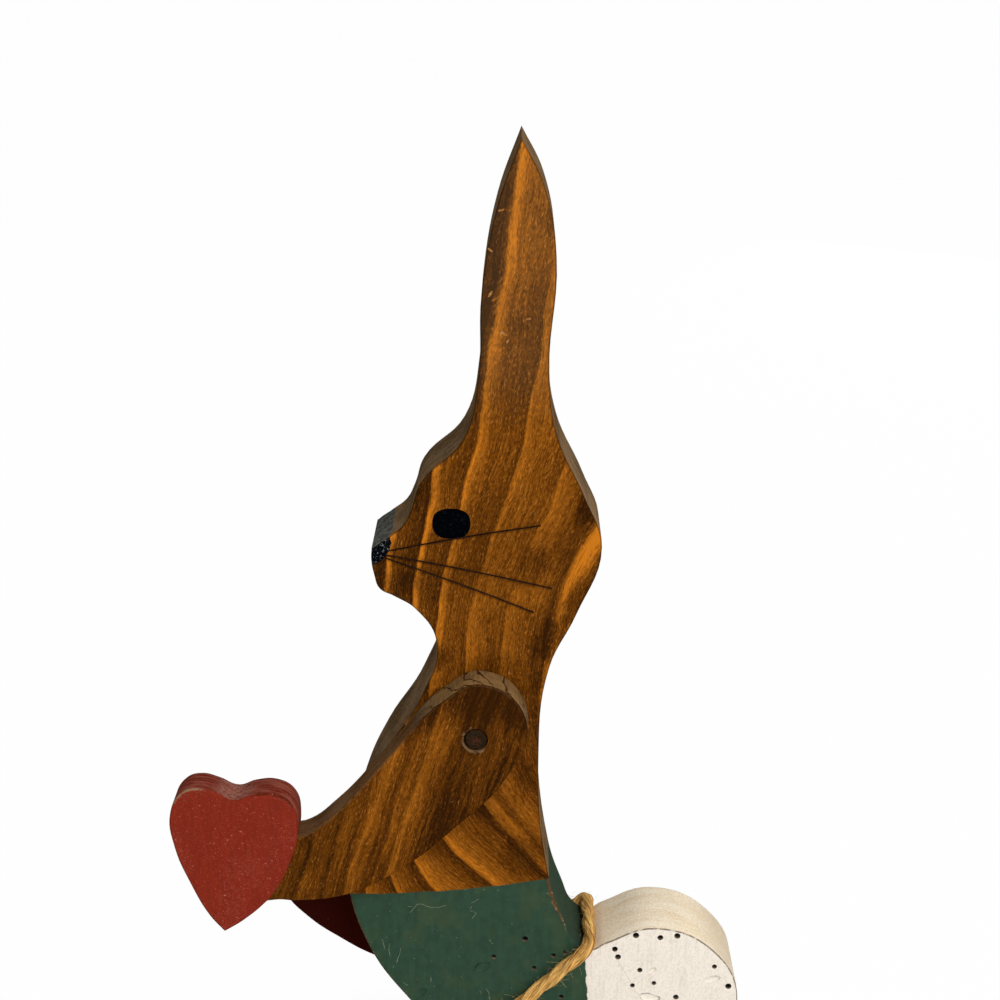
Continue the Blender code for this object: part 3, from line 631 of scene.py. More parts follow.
def heart_finish(name, wood, paint, shade, marked):
    """Old red paint, nearly even, with small pale scratches and rubbed, duller edges; the inner face, toward
    the board, is painted dark red as painted shade, and shade darkens the whole red.
    """
    material, wire = new_finish(name)
    spot = millimetres(wire)
    x, y, z = spot
    flat = facing(wire, "Y")
    streak = cloud(spot, (1.1, 1.1, 0.25), 4.0, 0.6)
    chip = cloud(spot, 1.5, 4.0, 0.7)
    patch = cloud(spot, 0.14, 2.0)
    layer = cloud(spot, (0.14, 1.2, 0.14), 4.0, 0.65)
    # shade darkens the whole red: painted shade, lowest on the back heart, which sits behind the board.
    heart = [c * shade for c in paint.heart]
    red = mix(smooth(streak, 0.34, 0.66), linear(heart, 0.93), linear(heart))
    is_edge = fade(flat, 0.12, 0.6)
    is_arris = smooth(flat, 0.10, 0.5) * fade(flat, 0.90, 0.995)
    dull = mix(smooth(layer, 0.38, 0.62), linear(heart, 0.78), linear(paint.heart_worn))
    colour = mix(is_edge * 0.8, red, dull)
    pale = tint(186, 116, 96)
    top = smooth(z, 138.5, 140.5) * marked
    notch = fade(abs(x + 55.6) + (chip - 0.5) * 6.0, 2.0, 6.0) * top
    colour = mix(notch * is_edge * smooth(chip, 0.38, 0.6) * 0.6, colour, tint(158, 118, 104))
    rubbed = is_arris * smooth(chip + (patch - 0.5) * 0.5, 0.36, 0.54)
    near_wrist = smooth(x + (chip - 0.5) * 6.0, -52.0, -49.0)
    colour = mix(rubbed * (top * near_wrist * 0.6 + 0.16), colour, linear(wood.umber))
    outer = fade(x + (chip - 0.5) * 6.0, -64.0, -61.5) * top
    colour = mix(rubbed * outer * 0.8, colour, linear(wood.sawn))
    sand = cloud(spot, 3.0, 1.0, 0.6)
    speck = cloud(spot, 1.3, 2.0, 0.6)
    colour = mix(smooth(sand, 0.54, 0.80) * 0.16, colour, pale)
    colour = mix(smooth(speck, 0.68, 0.73) * (1.0 - is_edge) * 0.6, colour, pale)
    for scale, width in ((0.45, 0.004), (0.8, 0.005)):
        hair = cloud((x, y + 50.0, z), scale, 2.0, 0.75)
        hair = fade(abs(hair - 0.5), width * 0.4, width)
        colour = mix(hair * smooth(patch + (chip - 0.5) * 0.5, 0.46, 0.62) * 0.4, colour, pale)
    # Painted shade: the inner face, toward the board, goes dark red where shade falls between the heart and
    # the board.
    inner_face_shade = fade(abs(y), 9.9, 10.6)
    colour = mix(inner_face_shade * 0.9, colour, tint(38, 9, 6))
    roughness = 0.5 + (chip - 0.5) * 0.4
    sheen = smooth(flat, 0.5, 0.9) * (1.0 - inner_face_shade) * chip * 0.08
    connect(material, colour, roughness, streak * 0.6 + chip * 0.4, 0.2, 0.0002, sheen)
    return material


def base_finish(wood):
    """Stained pine with its grain along the base, sawn across at both ends."""
    material, wire = new_finish("stained base board")
    spot = millimetres(wire)
    x, y, z = spot
    wander = cloud(spot, (0.04, 0.08, 0.08), 2.0)
    across = y + z * 0.55 + (wander - 0.5) * 7.0
    tone = grey_ramp(across, BASE_GRAIN)
    grain = (across, z, x)
    colour, roughness, height = pine(wood, grain, tone)
    colour = mix(smooth(facing(wire, "X"), 0.5, 0.9) * 0.8, colour, sawn_edge(wood, grain))
    rub = cloud(spot, 0.9, 4.0, 0.65)
    colour = mix(smooth(rub, 0.62, 0.70) * 0.3, colour, linear(wood.sawn))
    connect(material, colour, roughness, height, 0.35, 0.00025, rub * 0.05)
    return material


def dowel_finish(name, wood, lighter):
    """End grain of a turned peg, dark with stain, with a reddish heart."""
    material, wire = new_finish(name)
    spot = millimetres(wire)
    x, _, z = spot
    across = ((x - SHOULDER[0]) ** 2.0 + (z - SHOULDER[1] + 0.3) ** 2.0) ** 0.5
    pore = cloud(spot, (3.0, 0.4, 3.0), 3.0, 0.7)
    tone = smooth(pore, 0.36, 0.68)
    colour = mix(tone, linear(wood.umber, 0.6), linear(wood.sawn_dark, lighter))
    colour = mix(fade(across, 0.4, 1.6) * tone * 0.5, colour, tint(96, 44, 34))
    connect(material, colour, 0.62 + (pore - 0.5) * 0.3, pore, 0.4, 0.0002, pore * 0.04)
    return material


def enamel_finish(name, paint, crust):
    """Brushed black enamel, with pale crumbs where it dried thick."""
    material, wire = new_finish(name)
    dust = cloud(millimetres(wire), 1.7, 4.0, 0.72)
    colour = mix(smooth(dust, 0.57, 0.65) * crust, linear(paint.black), tint(134, 144, 148))
    connect(material, colour, 0.35 + (dust - 0.4) * 0.5, dust, 0.1 + crust, 0.0004, dust * crust * 0.12)
    return material


def bristle_finish():
    """A stiff dark bristle with hardly any shine."""
    material, wire = new_finish("dark bristle")
    tone = cloud(millimetres(wire), 0.5, 3.0)
    colour = mix(smooth(tone, 0.35, 0.65), tint(18, 8, 4), tint(36, 18, 9))
    connect(material, colour, 0.42 + (tone - 0.5) * 0.3, specular=0.03)
    return material


def jute_finish(twine):
    """Spun jute: fine fibres that follow each ply, in dark and light streaks that are partly painted crease
    shade, with painted highlights.
    """
    material, wire = new_finish("spun jute")

    def stored(name):
        return wire.node("ShaderNodeAttribute", None, {"attribute_name": name}, out="Fac")

    length = stored("ply_length")
    turn = stored("ply_turn")
    strand = stored("ply_index")
    fibre = cloud((length * 160.0, turn * 11.0 + length * 320.0, strand * 7.0), 1.0, 4.0, 0.7)
    mottle = cloud((length * 90.0, turn * 2.0, strand * 5.0 + 20.0), 1.0, 3.0)
    # Streaks of the dark tone: darker fibres, and painted crease shade.
    tone = smooth(fibre * 0.7 + mottle * 0.3, 0.37, 0.61)
    colour = mix(tone, linear(twine.jute_dark_and_shade), linear(twine.jute))
    # Painted highlights: spots of jute made brighter still.
    colour = mix(smooth(fibre, 0.55, 0.68) * 0.85, colour, linear(twine.jute, 1.2))
    colour = mix(stored("stray") * 0.9, colour, tint(214, 186, 132))
    connect(material, colour, 0.82 + (fibre - 0.5) * 0.2, fibre, 0.7, 0.0003, specular=0.1)
    return material


def bore_finish():
    """The inside of a worm hole, paler at its rim, painted darker with depth as painted shade."""
    material, wire = new_finish("dark bore")
    spot = millimetres(wire)
    # Painted shade: the wall goes dark brown with depth, where little light reaches.
    depth = smooth(FACE_Y - abs(spot[1]), 0.2, 1.1)
    speck = cloud(spot, 4.0, 2.0)
    rim = mix(smooth(speck, 0.4, 0.6), tint(52, 42, 32), tint(126, 108, 82))
    colour = mix(depth, rim, tint(16, 11, 7))
    connect(material, colour, 0.8 + (speck - 0.5) * 0.2)
    return material


def nick_finish(wood):
    """Torn fibres in a nick, paler than the stain round them."""
    material, wire = new_finish("torn pine")
    torn = cloud(millimetres(wire), 1.6, 4.0, 0.65)
    colour = mix(smooth(torn, 0.40, 0.62), linear(wood.honey), tint(168, 128, 84))
    connect(material, colour, 0.66 + (torn - 0.5) * 0.3, torn, 0.4, 0.0002, specular=0.035)
    return material


def zinc_finish():
    """Dull zinc of a screw."""
    material, wire = new_finish("dull zinc")
    tone = cloud(millimetres(wire), 1.2, 4.0, 0.65)
    colour = mix(smooth(tone, 0.38, 0.64), tint(128, 124, 112), tint(182, 180, 172))
    connect(material, colour, 0.38 + (tone - 0.5) * 0.5, tone, 0.2, 0.0001)
    material.node_tree.nodes["Principled BSDF"].inputs["Metallic"].default_value = 1.0
    return material


def placed(name, data):
    """A new object in the scene."""
    item = bpy.data.objects.new(name, data)
    bpy.context.scene.collection.objects.link(item)
    return item


def give_finish(mesh, material):
    mesh.materials.clear()
    mesh.materials.append(material)


def piece(name, mesh, material, body, slot, *nodes):
    """Puts a finished mesh into the scene as a piece of the rabbit."""
    item = placed(name, mesh)
    if material:
        give_finish(mesh, material)
    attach(item, body)
    if nodes:
        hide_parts(*nodes)


def is_face_of_board(face):
    return abs(face.normal.y) > 0.999


def sculpt_of(mesh):
    sculpt = bmesh.new()
    sculpt.from_mesh(mesh)
    return sculpt


def surface_of(node):
    """A node's mesh, to find the nearest point of it."""
    sculpt = sculpt_of(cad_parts[node].data)
    tree = BVHTree.FromBMesh(sculpt)
    sculpt.free()
    return tree


def eased_board(node, ease, crisp=None):
    """A merged copy of a sawn board, with its arrises sanded round except where crisp says so."""
    sculpt = sculpt_of(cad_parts[node].data)
    bmesh.ops.remove_doubles(sculpt, verts=sculpt.verts, dist=1e-6)
    bmesh.ops.dissolve_limit(
        sculpt,
        angle_limit=math.radians(0.3),
        verts=sculpt.verts,
        edges=sculpt.edges,
        use_dissolve_boundaries=False,
    )
    sculpt.normal_update()
    rim = []
    for edge in sculpt.edges:
        if len(edge.link_faces) != 2:
            raise RuntimeError("%s is not closed" % node)
        faces = [is_face_of_board(face) for face in edge.link_faces]
        if faces[0] != faces[1] and not (crisp and crisp((edge.verts[0].co + edge.verts[1].co) / 2)):
            rim.append(edge)
    if ease > 0:
        bmesh.ops.bevel(
            sculpt,
            geom=rim,
            offset=ease,
            offset_type="OFFSET",
            segments=EASE_STEPS,
            profile=0.5,
            affect="EDGES",
            clamp_overlap=False,
        )
    return sculpt


def in_shoulder_bore(place):
    return math.hypot(place.x - SHOULDER[0] * MM, place.z - SHOULDER[1] * MM) < BORE_REACH


def close_joint(sculpt, other):
    """Moves the vertices that lie within reach of another surface up to a hair's breadth from it."""
    for vert in sculpt.verts:
        spot, _, _, distance = other.find_nearest(vert.co)
        if distance < JOINT_REACH:
            vert.co = spot + (vert.co - spot).normalized() * JOINT_GAP


def sharpen_ear(sculpt, ease):
    """Draws the eased far arris at the ear's tip back out to a point."""
    top = max(vert.co.z for vert in sculpt.verts)
    foot = top - EAR_TIP
    far = FACE_Y * MM - ease * 0.9
    rims = [vert for vert in sculpt.verts if vert.co.z > foot and vert.co.y > far]
    crest = max(vert.co.z for vert in rims)
    for vert in rims:
        share = (vert.co.z - foot) / (crest - foot)
        vert.co.z += share ** 2 * (top - crest) * 0.85


def shade_board(mesh):
    """Smooth shading that stays flat on the board's faces."""
    sculpt = sculpt_of(mesh)
    bmesh.ops.triangulate(sculpt, faces=[face for face in sculpt.faces if len(face.verts) > 4])
    sculpt.normal_update()
    for face in sculpt.faces:
        face.smooth = True
    for edge in sculpt.edges:
        if len(edge.link_faces) == 2:
            flat = [is_face_of_board(face) for face in edge.link_faces]
            bend = edge.calc_face_angle(0.0)
            edge.smooth = bend < SMOOTH_BELOW and flat[0] == flat[1]
    sculpt.to_mesh(mesh)
    sculpt.free()
    return mesh


def mesh_of(sculpt, name):
    mesh = bpy.data.meshes.new(name)
    sculpt.to_mesh(mesh)
    sculpt.free()
    return mesh


def new_tree(name, sockets):
    """A geometry tree with named inputs: returns the tree, its inputs as wires, and their identifiers."""
    tree = bpy.data.node_groups.new(name, "GeometryNodeTree")
    tree.interface.new_socket("Geometry", in_out="INPUT", socket_type="NodeSocketGeometry")
    tree.interface.new_socket("Geometry", in_out="OUTPUT", socket_type="NodeSocketGeometry")
    names = {}
    for label, kind in sockets:
        names[label] = tree.interface.new_socket(label, in_out="INPUT", socket_type=kind).identifier
    source = tree.nodes.new("NodeGroupInput")
    wires = {output.name: Wire(tree, output) for output in source.outputs if output.name}
    return tree, wires, names


def finished(geometry, finish):
    """Real geometry in one finish."""
    real = geometry.node("GeometryNodeRealizeInstances", {"Geometry": geometry})
    return real.node("GeometryNodeSetMaterial", {"Geometry": real, "Material": finish})


def carved(blank, cutter):
    """What is left of a blank when the cutter's shape is taken out of it."""
    settings = {"operation": "DIFFERENCE", "solver": "EXACT"}
    return blank.node("GeometryNodeMeshBoolean", {0: blank, 1: cutter}, settings)


def close_tree(tree, geometry):
    sink = tree.nodes.new("NodeGroupOutput")
    tree.links.new(geometry.socket, sink.inputs[0])


def grown(name, source, tree, names, values):
    """Runs a tree on an object's mesh or curve, and returns what it makes as a plain mesh."""
    item = placed(name, source)
    modifier = item.modifiers.new(name, "NODES")
    modifier.node_group = tree
    for label, value in values.items():
        modifier[names[label]] = value
    graph = bpy.context.evaluated_depsgraph_get()
    graph.update()
    mesh = bpy.data.meshes.new_from_object(item.evaluated_get(graph), depsgraph=graph)
    mesh.name = name
    bpy.data.objects.remove(item)
    if not mesh.polygons:
        raise RuntimeError("%s came out empty" % name)
    return mesh


def marks_mesh(name, rows):
    """Points for marks, each with the size and the turn of its cutter."""
    mesh = bpy.data.meshes.new(name)
    mesh.from_pydata([row[0] for row in rows], [], [])
    size = mesh.attributes.new("mark_size", "FLOAT_VECTOR", "POINT")
    turn = mesh.attributes.new("mark_turn", "FLOAT_VECTOR", "POINT")
    for index, row in enumerate(rows):
        size.data[index].vector = row[1]
        turn.data[index].vector = row[2]
    return mesh


def cut_marks_tree():
    """Bores worm holes and presses dents into a board, at points that carry their size and turn."""
    sockets = (
        ("Worm holes", "NodeSocketObject"),
        ("Dents", "NodeSocketObject"),
        ("Nicks", "NodeSocketObject"),
        ("Board finish", "NodeSocketMaterial"),
        ("Bore finish", "NodeSocketMaterial"),
        ("Dent finish", "NodeSocketMaterial"),
        ("Nick finish", "NodeSocketMaterial"),
    )
    tree, wires, names = new_tree("Cut marks", sockets)
    board = wires["Geometry"]
    vector = {"data_type": "FLOAT_VECTOR"}
    size = board.node("GeometryNodeInputNamedAttribute", {"Name": "mark_size"}, vector)
    turn = board.node("GeometryNodeInputNamedAttribute", {"Name": "mark_turn"}, vector)
    sockets = {"Vertices": 10, "Side Segments": 1, "Radius": 0.5, "Depth": 2.0}
    drill = board.node("GeometryNodeMeshCylinder", sockets, {"fill_type": "NGON"})
    press = board.node("GeometryNodeMeshIcoSphere", {"Radius": 1.0, "Subdivisions": 3})
    result = finished(board, wires["Board finish"])
    kinds = (
        ("Worm holes", drill, "Bore finish"),
        ("Dents", press, "Dent finish"),
        ("Nicks", press, "Nick finish"),
    )
    for label, tool, finish in kinds:
        points = board.node("GeometryNodeObjectInfo", {"Object": wires[label]}, out="Geometry")
        sockets = {"Points": points, "Instance": tool, "Rotation": turn, "Scale": size}
        marks = board.node("GeometryNodeInstanceOnPoints", sockets)
        result = carved(result, finished(marks, wires[finish]))
    close_tree(tree, result)
    return tree, names


def hole_rows(paint):
    """Worm holes of both faces; those of the unseen face and of the lower trousers are scattered."""
    chance = random.Random(7)
    shown = [(x, z, -FACE_Y) for x, z in TAIL_HOLES + TROUSER_HOLES]
    for _ in range(9):
        angle = chance.uniform(0, math.tau)
        reach = 17.0 * math.sqrt(chance.random())
        shown.append((TAIL[0] + reach * math.cos(angle), TAIL[1] + reach * math.sin(angle), FACE_Y))
    for _ in range(9):
        shown.append((chance.uniform(-20, 22), chance.uniform(84, 106), FACE_Y))
    for side in (-FACE_Y, FACE_Y):
        for _ in range(5):
            shown.append((chance.uniform(2, 20), chance.uniform(42, 60), side))
    for _ in range(4):
        angle = chance.uniform(-2.2, 0.2)
        shown.append((TAIL[0] + 14 * math.cos(angle), TAIL[1] + 14 * math.sin(angle), -FACE_Y))
    rows = []
    for x, z, y in shown:
        if any(math.dist((x * MM, y * MM, z * MM), row[0]) < 1.6 * paint.hole for row in rows):
            continue
        wide = paint.hole * chance.uniform(0.82, 1.12)
        turn = (math.pi / 2 + chance.uniform(-0.02, 0.2), 0, chance.uniform(-0.1, 0.1))
        rows.append(((x * MM, y * MM, z * MM), (wide, wide, paint.hole_depth), turn))
    return rows


def dent_rows(dents, depth):
    """Dents of the front, and others like them on the unseen face."""
    chance = random.Random(3)
    marks = [(*dent, -FACE_Y) for dent in dents]
    for x, z, length, breadth, turn in dents[:6]:
        far_x = x + chance.uniform(-1.0, 1.0)
        far_z = z - chance.uniform(2, 5)
        marks.append((far_x, far_z, length, breadth, -turn, FACE_Y))
    rows = []
    for x, z, length, breadth, turn, y in marks:
        size = (length / 2 * MM, depth, breadth / 2 * MM)
        rows.append(((x * MM, y * MM, z * MM), size, (0, -math.radians(turn), 0)))
    return rows


class RABBIT_OT_board(bpy.types.Operator):
    """Saw the rabbit's board, ease its arrises, bore its worm holes and paint it"""

    bl_idname = "rabbit.board"
    bl_label = "Rabbit board"

    def execute(self, context):
        wood = context.scene.rabbit_wood
        paint = context.scene.rabbit_paint
        sculpt = eased_board("body_board", wood.arris, in_shoulder_bore)
        sharpen_ear(sculpt, wood.arris)
        tree, names = cut_marks_tree()
        values = {
            "Worm holes": placed("worm holes", marks_mesh("worm holes", hole_rows(paint))),
            "Dents": placed("dents", marks_mesh("dents", dent_rows(DENTS, paint.dent_depth))),
            "Nicks": placed("nicks", marks_mesh("nicks", dent_rows(NICKS, paint.dent_depth * 0.6))),
            "Board finish": painted_board_finish("painted pine board", wood, paint, 1.0),
            "Dent finish": painted_board_finish("painted pine dents", wood, paint, 0.0),
            "Bore finish": bore_finish(),
            "Nick finish": nick_finish(wood),
        }
        mesh = grown("rabbit_board", mesh_of(sculpt, "rabbit blank"), tree, names, values)
        for label in ("Worm holes", "Dents", "Nicks"):
            bpy.data.objects.remove(values[label])
        piece("rabbit_board", shade_board(mesh), None, "figure", "stained_pine", "body_board")
        return {"FINISHED"}


class RABBIT_OT_arms(bpy.types.Operator):
    """Saw the two swinging arms and stain them along their own grain"""

    bl_idname = "rabbit.arms"
    bl_label = "Swinging arms"

    def execute(self, context):
        wood = context.scene.rabbit_wood
        for side, turn in (("front", 0.0), ("back", 34.0)):
            finish = arm_finish("stained %s arm" % side, wood, math.radians(turn))
            heart = surface_of(side + "_heart")
            sculpt = eased_board(
                side + "_arm",
                wood.arris * 1.2,
                lambda place: in_shoulder_bore(place) or heart.find_nearest(place)[3] < JOINT_REACH,
            )
            close_joint(sculpt, heart)
            mesh = mesh_of(sculpt, side + "_arm_board")
            name = side + "_arm"
            piece(name + "_board", shade_board(mesh), finish, name + "_swing", "stained_pine", name)
        return {"FINISHED"}


class RABBIT_OT_hearts(bpy.types.Operator):
    """Round over the two hearts and give them worn red paint"""

    bl_idname = "rabbit.hearts"
    bl_label = "Hearts"

    def execute(self, context):
        wood = context.scene.rabbit_wood
        paint = context.scene.rabbit_paint
        # The back heart's lower shade is painted shade, for the heart that sits behind the board.
        for side, shade, marked in (("front", 0.97, 1.0), ("back", 0.9, 0.0)):
            finish = heart_finish("worn red paint with painted shade, %s" % side, wood, paint, shade, marked)
            arm = surface_of(side + "_arm")
            sculpt = eased_board(
                side + "_heart", wood.arris * 1.2, lambda place: arm.find_nearest(place)[3] < JOINT_REACH
            )
            mesh = mesh_of(sculpt, side + "_heart_board")
            body = side + "_arm_swing"
            piece(side + "_heart_board", shade_board(mesh), finish, body, "red_paint", side + "_heart")
        return {"FINISHED"}


class RABBIT_OT_pegs(bpy.types.Operator):
    """Turn the shoulder dowel with eased ends, and stain the hidden wrist pins"""

    bl_idname = "rabbit.pegs"
    bl_label = "Dowel and pins"

    def execute(self, context):
        wood = context.scene.rabbit_wood
        finish = dowel_finish("stained dowel", wood, 0.64)
        mesh = mesh_of(eased_board("shoulder_dowel", PEG_EASE), "shoulder_peg")
        piece("shoulder_peg", shade_board(mesh), finish, "figure", "dowel_wood", "shoulder_dowel")
        pin = dowel_finish("wrist pin wood", wood, 1.2)
        for side in ("front", "back"):
            give_finish(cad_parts[side + "_heart_pin"].data, pin)
        return {"FINISHED"}


def ring_walls(sculpt, rings):
    """Joins each ring of vertices to the next."""
    for first, second in zip(rings, rings[1:]):
        for step in range(len(first)):
            after = (step + 1) % len(first)
            sculpt.faces.new((first[step], first[after], second[after], second[step]))


def film_mesh(sculpt, name):
    """A closed film of enamel, smooth except on its flat underside."""
    bmesh.ops.recalc_face_normals(sculpt, faces=sculpt.faces)
    for face in sculpt.faces:
        face.smooth = len(face.verts) < 5
    return mesh_of(sculpt, name)


def dab_mesh(side):
    """A dab of thick enamel that fills the tip of the nose: a lumpy dome that lies on the cheek."""
    outline = []
    for (x, z), (next_x, next_z) in zip(NOSE_TIP, NOSE_TIP[1:] + NOSE_TIP[:1]):
        for share in [step / 8 for step in range(8)]:
            outline.append((x + (next_x - x) * share, z + (next_z - z) * share))
    middle_x = sum(x for x, _ in outline) / len(outline)
    middle_z = sum(z for _, z in outline) / len(outline)
    sculpt = bmesh.new()
    rings = []
    for share, rise in ((1.0, -0.02), (0.98, 0.34), (0.90, 0.66), (0.74, 0.88), (0.5, 0.98), (0.25, 1.04)):
        ring = []
        for x, z in outline:
            edge = 1.0 + 0.05 * noise.noise(Vector((x * 1.3, z * 1.3, 2.0)))
            px = middle_x + (x - middle_x) * share * edge
            pz = middle_z + (z - middle_z) * share * edge
            lump = 1.0 + 0.5 * noise.noise(Vector((px * 0.9, pz * 0.9, side * 4.0)))
            ring.append(sculpt.verts.new((px * MM, side * (FACE_Y + rise * lump) * MM, pz * MM)))
        rings.append(ring)
    ring_walls(sculpt, rings)
    crown = sculpt.verts.new((middle_x * MM, side * (FACE_Y + 1.06) * MM, middle_z * MM))
    top = rings[-1]
    for first, second in zip(top, top[1:] + top[:1]):
        sculpt.faces.new((first, second, crown))
    sculpt.faces.new(list(reversed(rings[0])))
    return film_mesh(sculpt, "nose dab")


def eye_mesh(side):
    """The painted eye: a thin film of enamel with a brushed outline, just proud of the board."""
    sculpt = bmesh.new()
    rings = []
    for share, rise in ((0.0, 0.14), (0.5, 0.13), (0.85, 0.11), (0.96, 0.07), (1.0, 0.0)):
        ring = []
        for step in range(EYE_STEPS):
            angle = math.tau * step / EYE_STEPS
            c = math.cos(angle)
            s = math.sin(angle)
            square = (abs(c) ** 2.5 + abs(s) ** 2.5) ** -0.4
            wobble = 1.0 + 0.02 * noise.noise(Vector((c * 1.6, s * 1.6, 3.0)))
            x = EYE[0] + EYE_HALF[0] * c * square * share * wobble
            z = EYE[1] + EYE_HALF[1] * s * square * share * wobble
            ring.append(sculpt.verts.new((x * MM, side * (FACE_Y + rise) * MM, z * MM)))
        rings.append(ring)
    ring_walls(sculpt, rings)
    sculpt.faces.new(list(reversed(rings[-1])))
    bmesh.ops.remove_doubles(sculpt, verts=sculpt.verts, dist=1e-7)
    return film_mesh(sculpt, "eye spot")


def whisker_tree():
    """Draws each edge of a mesh as a bristle that bows a little and thins to its tip."""
    sockets = (
        ("Diameter", "NodeSocketFloat"),
        ("Bow", "NodeSocketFloat"),
        ("Finish", "NodeSocketMaterial"),
    )
    tree, wires, names = new_tree("Whiskers", sockets)
    lines = wires["Geometry"]
    curve = lines.node("GeometryNodeMeshToCurve", {"Mesh": lines})
    curve = lines.node("GeometryNodeResampleCurve", {"Curve": curve, "Count": 14})
    share = lines.node("GeometryNodeSplineParameter", out="Factor")
    bow = lines.math("SINE", share * math.pi) * wires["Bow"]
    lift = lines.node("ShaderNodeCombineXYZ", {"Z": bow})
    curve = lines.node("GeometryNodeSetPosition", {"Geometry": curve, "Offset": lift})
    curve = lines.node("GeometryNodeSetCurveRadius", {"Curve": curve, "Radius": 1.0 - share * 0.55})
    ring = lines.node("GeometryNodeCurvePrimitiveCircle", {"Resolution": 7, "Radius": wires["Diameter"] / 2})
    sockets = {"Curve": curve, "Profile Curve": ring, "Fill Caps": True}
    bristle = lines.node("GeometryNodeCurveToMesh", sockets)
    close_tree(tree, finished(bristle, wires["Finish"]))
    return tree, names


class RABBIT_OT_nose(bpy.types.Operator):
    """Put the enamel dab and three bristle whiskers on each cheek"""

    bl_idname = "rabbit.nose"
    bl_label = "Nose and whiskers"

    def execute(self, context):
        paint = context.scene.rabbit_paint
        enamel = enamel_finish("thick black enamel", paint, 0.7)
        film = enamel_finish("brushed black enamel", paint, 0.02)
        bristle = bristle_finish()
        tree, names = whisker_tree()
        for side_name, side in (("front", -1), ("back", 1)):
            dab = side_name + "_nose_dab"
            piece(side_name + "_nose_blob", dab_mesh(side), enamel, "figure", "black_enamel", dab)
            piece(side_name + "_eye_spot", eye_mesh(side), film, "figure", "black_enamel")
            ends = []
            nodes = []
            for row, rises in (("upper", True), ("middle", False), ("lower", False)):
                node = "%s_whisker_%s" % (side_name, row)
                low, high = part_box(node)
                y = (low.y + high.y) / 2
                heights = (low.z + WHISKER_HALF, high.z - WHISKER_HALF)
                first, last = heights if rises else reversed(heights)
                root = Vector((low.x, y, first))
                tip = Vector((high.x, y, last))
                ends += [root + (root - tip).normalized() * WHISKER_ROOT, tip]
                nodes.append(node)
            lines = bpy.data.meshes.new("whisker lines")
            lines.from_pydata(ends, [(0, 1), (2, 3), (4, 5)], [])
            values = {"Diameter": WHISKER, "Bow": WHISKER_BOW, "Finish": bristle}
            mesh = grown(side_name + "_whiskers", lines, tree, names, values)
            piece(side_name + "_whiskers", mesh, None, "figure", "bristle", *nodes)
        return {"FINISHED"}


def twine_path():
    """The loop of twine from one side of the knot round the waist to the other, in metres."""
    run = FRONT_SEAT - REAR_SEAT
    along = run.normalized()
    knot_at = KNOT_SHARE * run.length

    def spot(distance, y):
        return (REAR_SEAT + along * distance + Vector((0, y, 0))) * MM

    def corner(distance, y, start):
        turns = [math.radians(start - step * 11.25) for step in range(9)]
        return [spot(distance + TWINE_BEND * math.cos(a), y + TWINE_BEND * math.sin(a)) for a in turns]

    near = TWINE_BEND - TWINE_SIDE
    far = TWINE_SIDE - TWINE_BEND
    path = [spot(knot_at - 1.0, -TWINE_SIDE), spot(knot_at / 2, -TWINE_SIDE)]
    path += corner(TWINE_BEND, near, 270.0) + corner(TWINE_BEND, far, 180.0)
    path += [spot(run.length * share, TWINE_SIDE) for share in (0.25, 0.5, 0.75)]
    path += corner(run.length - TWINE_BEND, far, 90.0) + corner(run.length - TWINE_BEND, near, 0.0)
    path += [spot(knot_at + 1.0, -TWINE_SIDE)]
    return path


def knot_paths():
    """Two ends that wind round each other in the knot and hang out of it, in metres."""
    run = (FRONT_SEAT - REAR_SEAT).normalized()
    rise = Vector((-run.z, 0, run.x))
    out = Vector((0, -1, 0))
    middle = REAR_SEAT + (FRONT_SEAT - REAR_SEAT) * KNOT_SHARE + Vector((0, -FACE_Y - 3.3, 0))
    wrap = []
    for step in range(25):
        angle = math.radians(200 + step * 24.0)
        reach = -2.5 + 5.0 * step / 24
        round_it = rise * (WRAP * math.cos(angle)) + out * (WRAP * math.sin(angle))
        wrap.append(middle + run * reach + round_it)
    first_fall, last_fall = [
        Vector((math.sin(math.radians(turn)), 0, -math.cos(math.radians(turn)))) for turn in END_TURNS
    ]
    start = middle - run * 2.2 + out * 0.6
    first = [middle - run * 3.0, middle - run * 1.4 + rise * 0.4, middle + run * 0.4]
    first += [middle + first_fall * reach + out * (0.5 - 0.06 * reach) for reach in END_POINTS]
    last = [start + last_fall * reach - out * (0.1 * reach) for reach in (0.0, *END_POINTS)]
    return [[point * MM for point in path] for path in (wrap, first, last)]


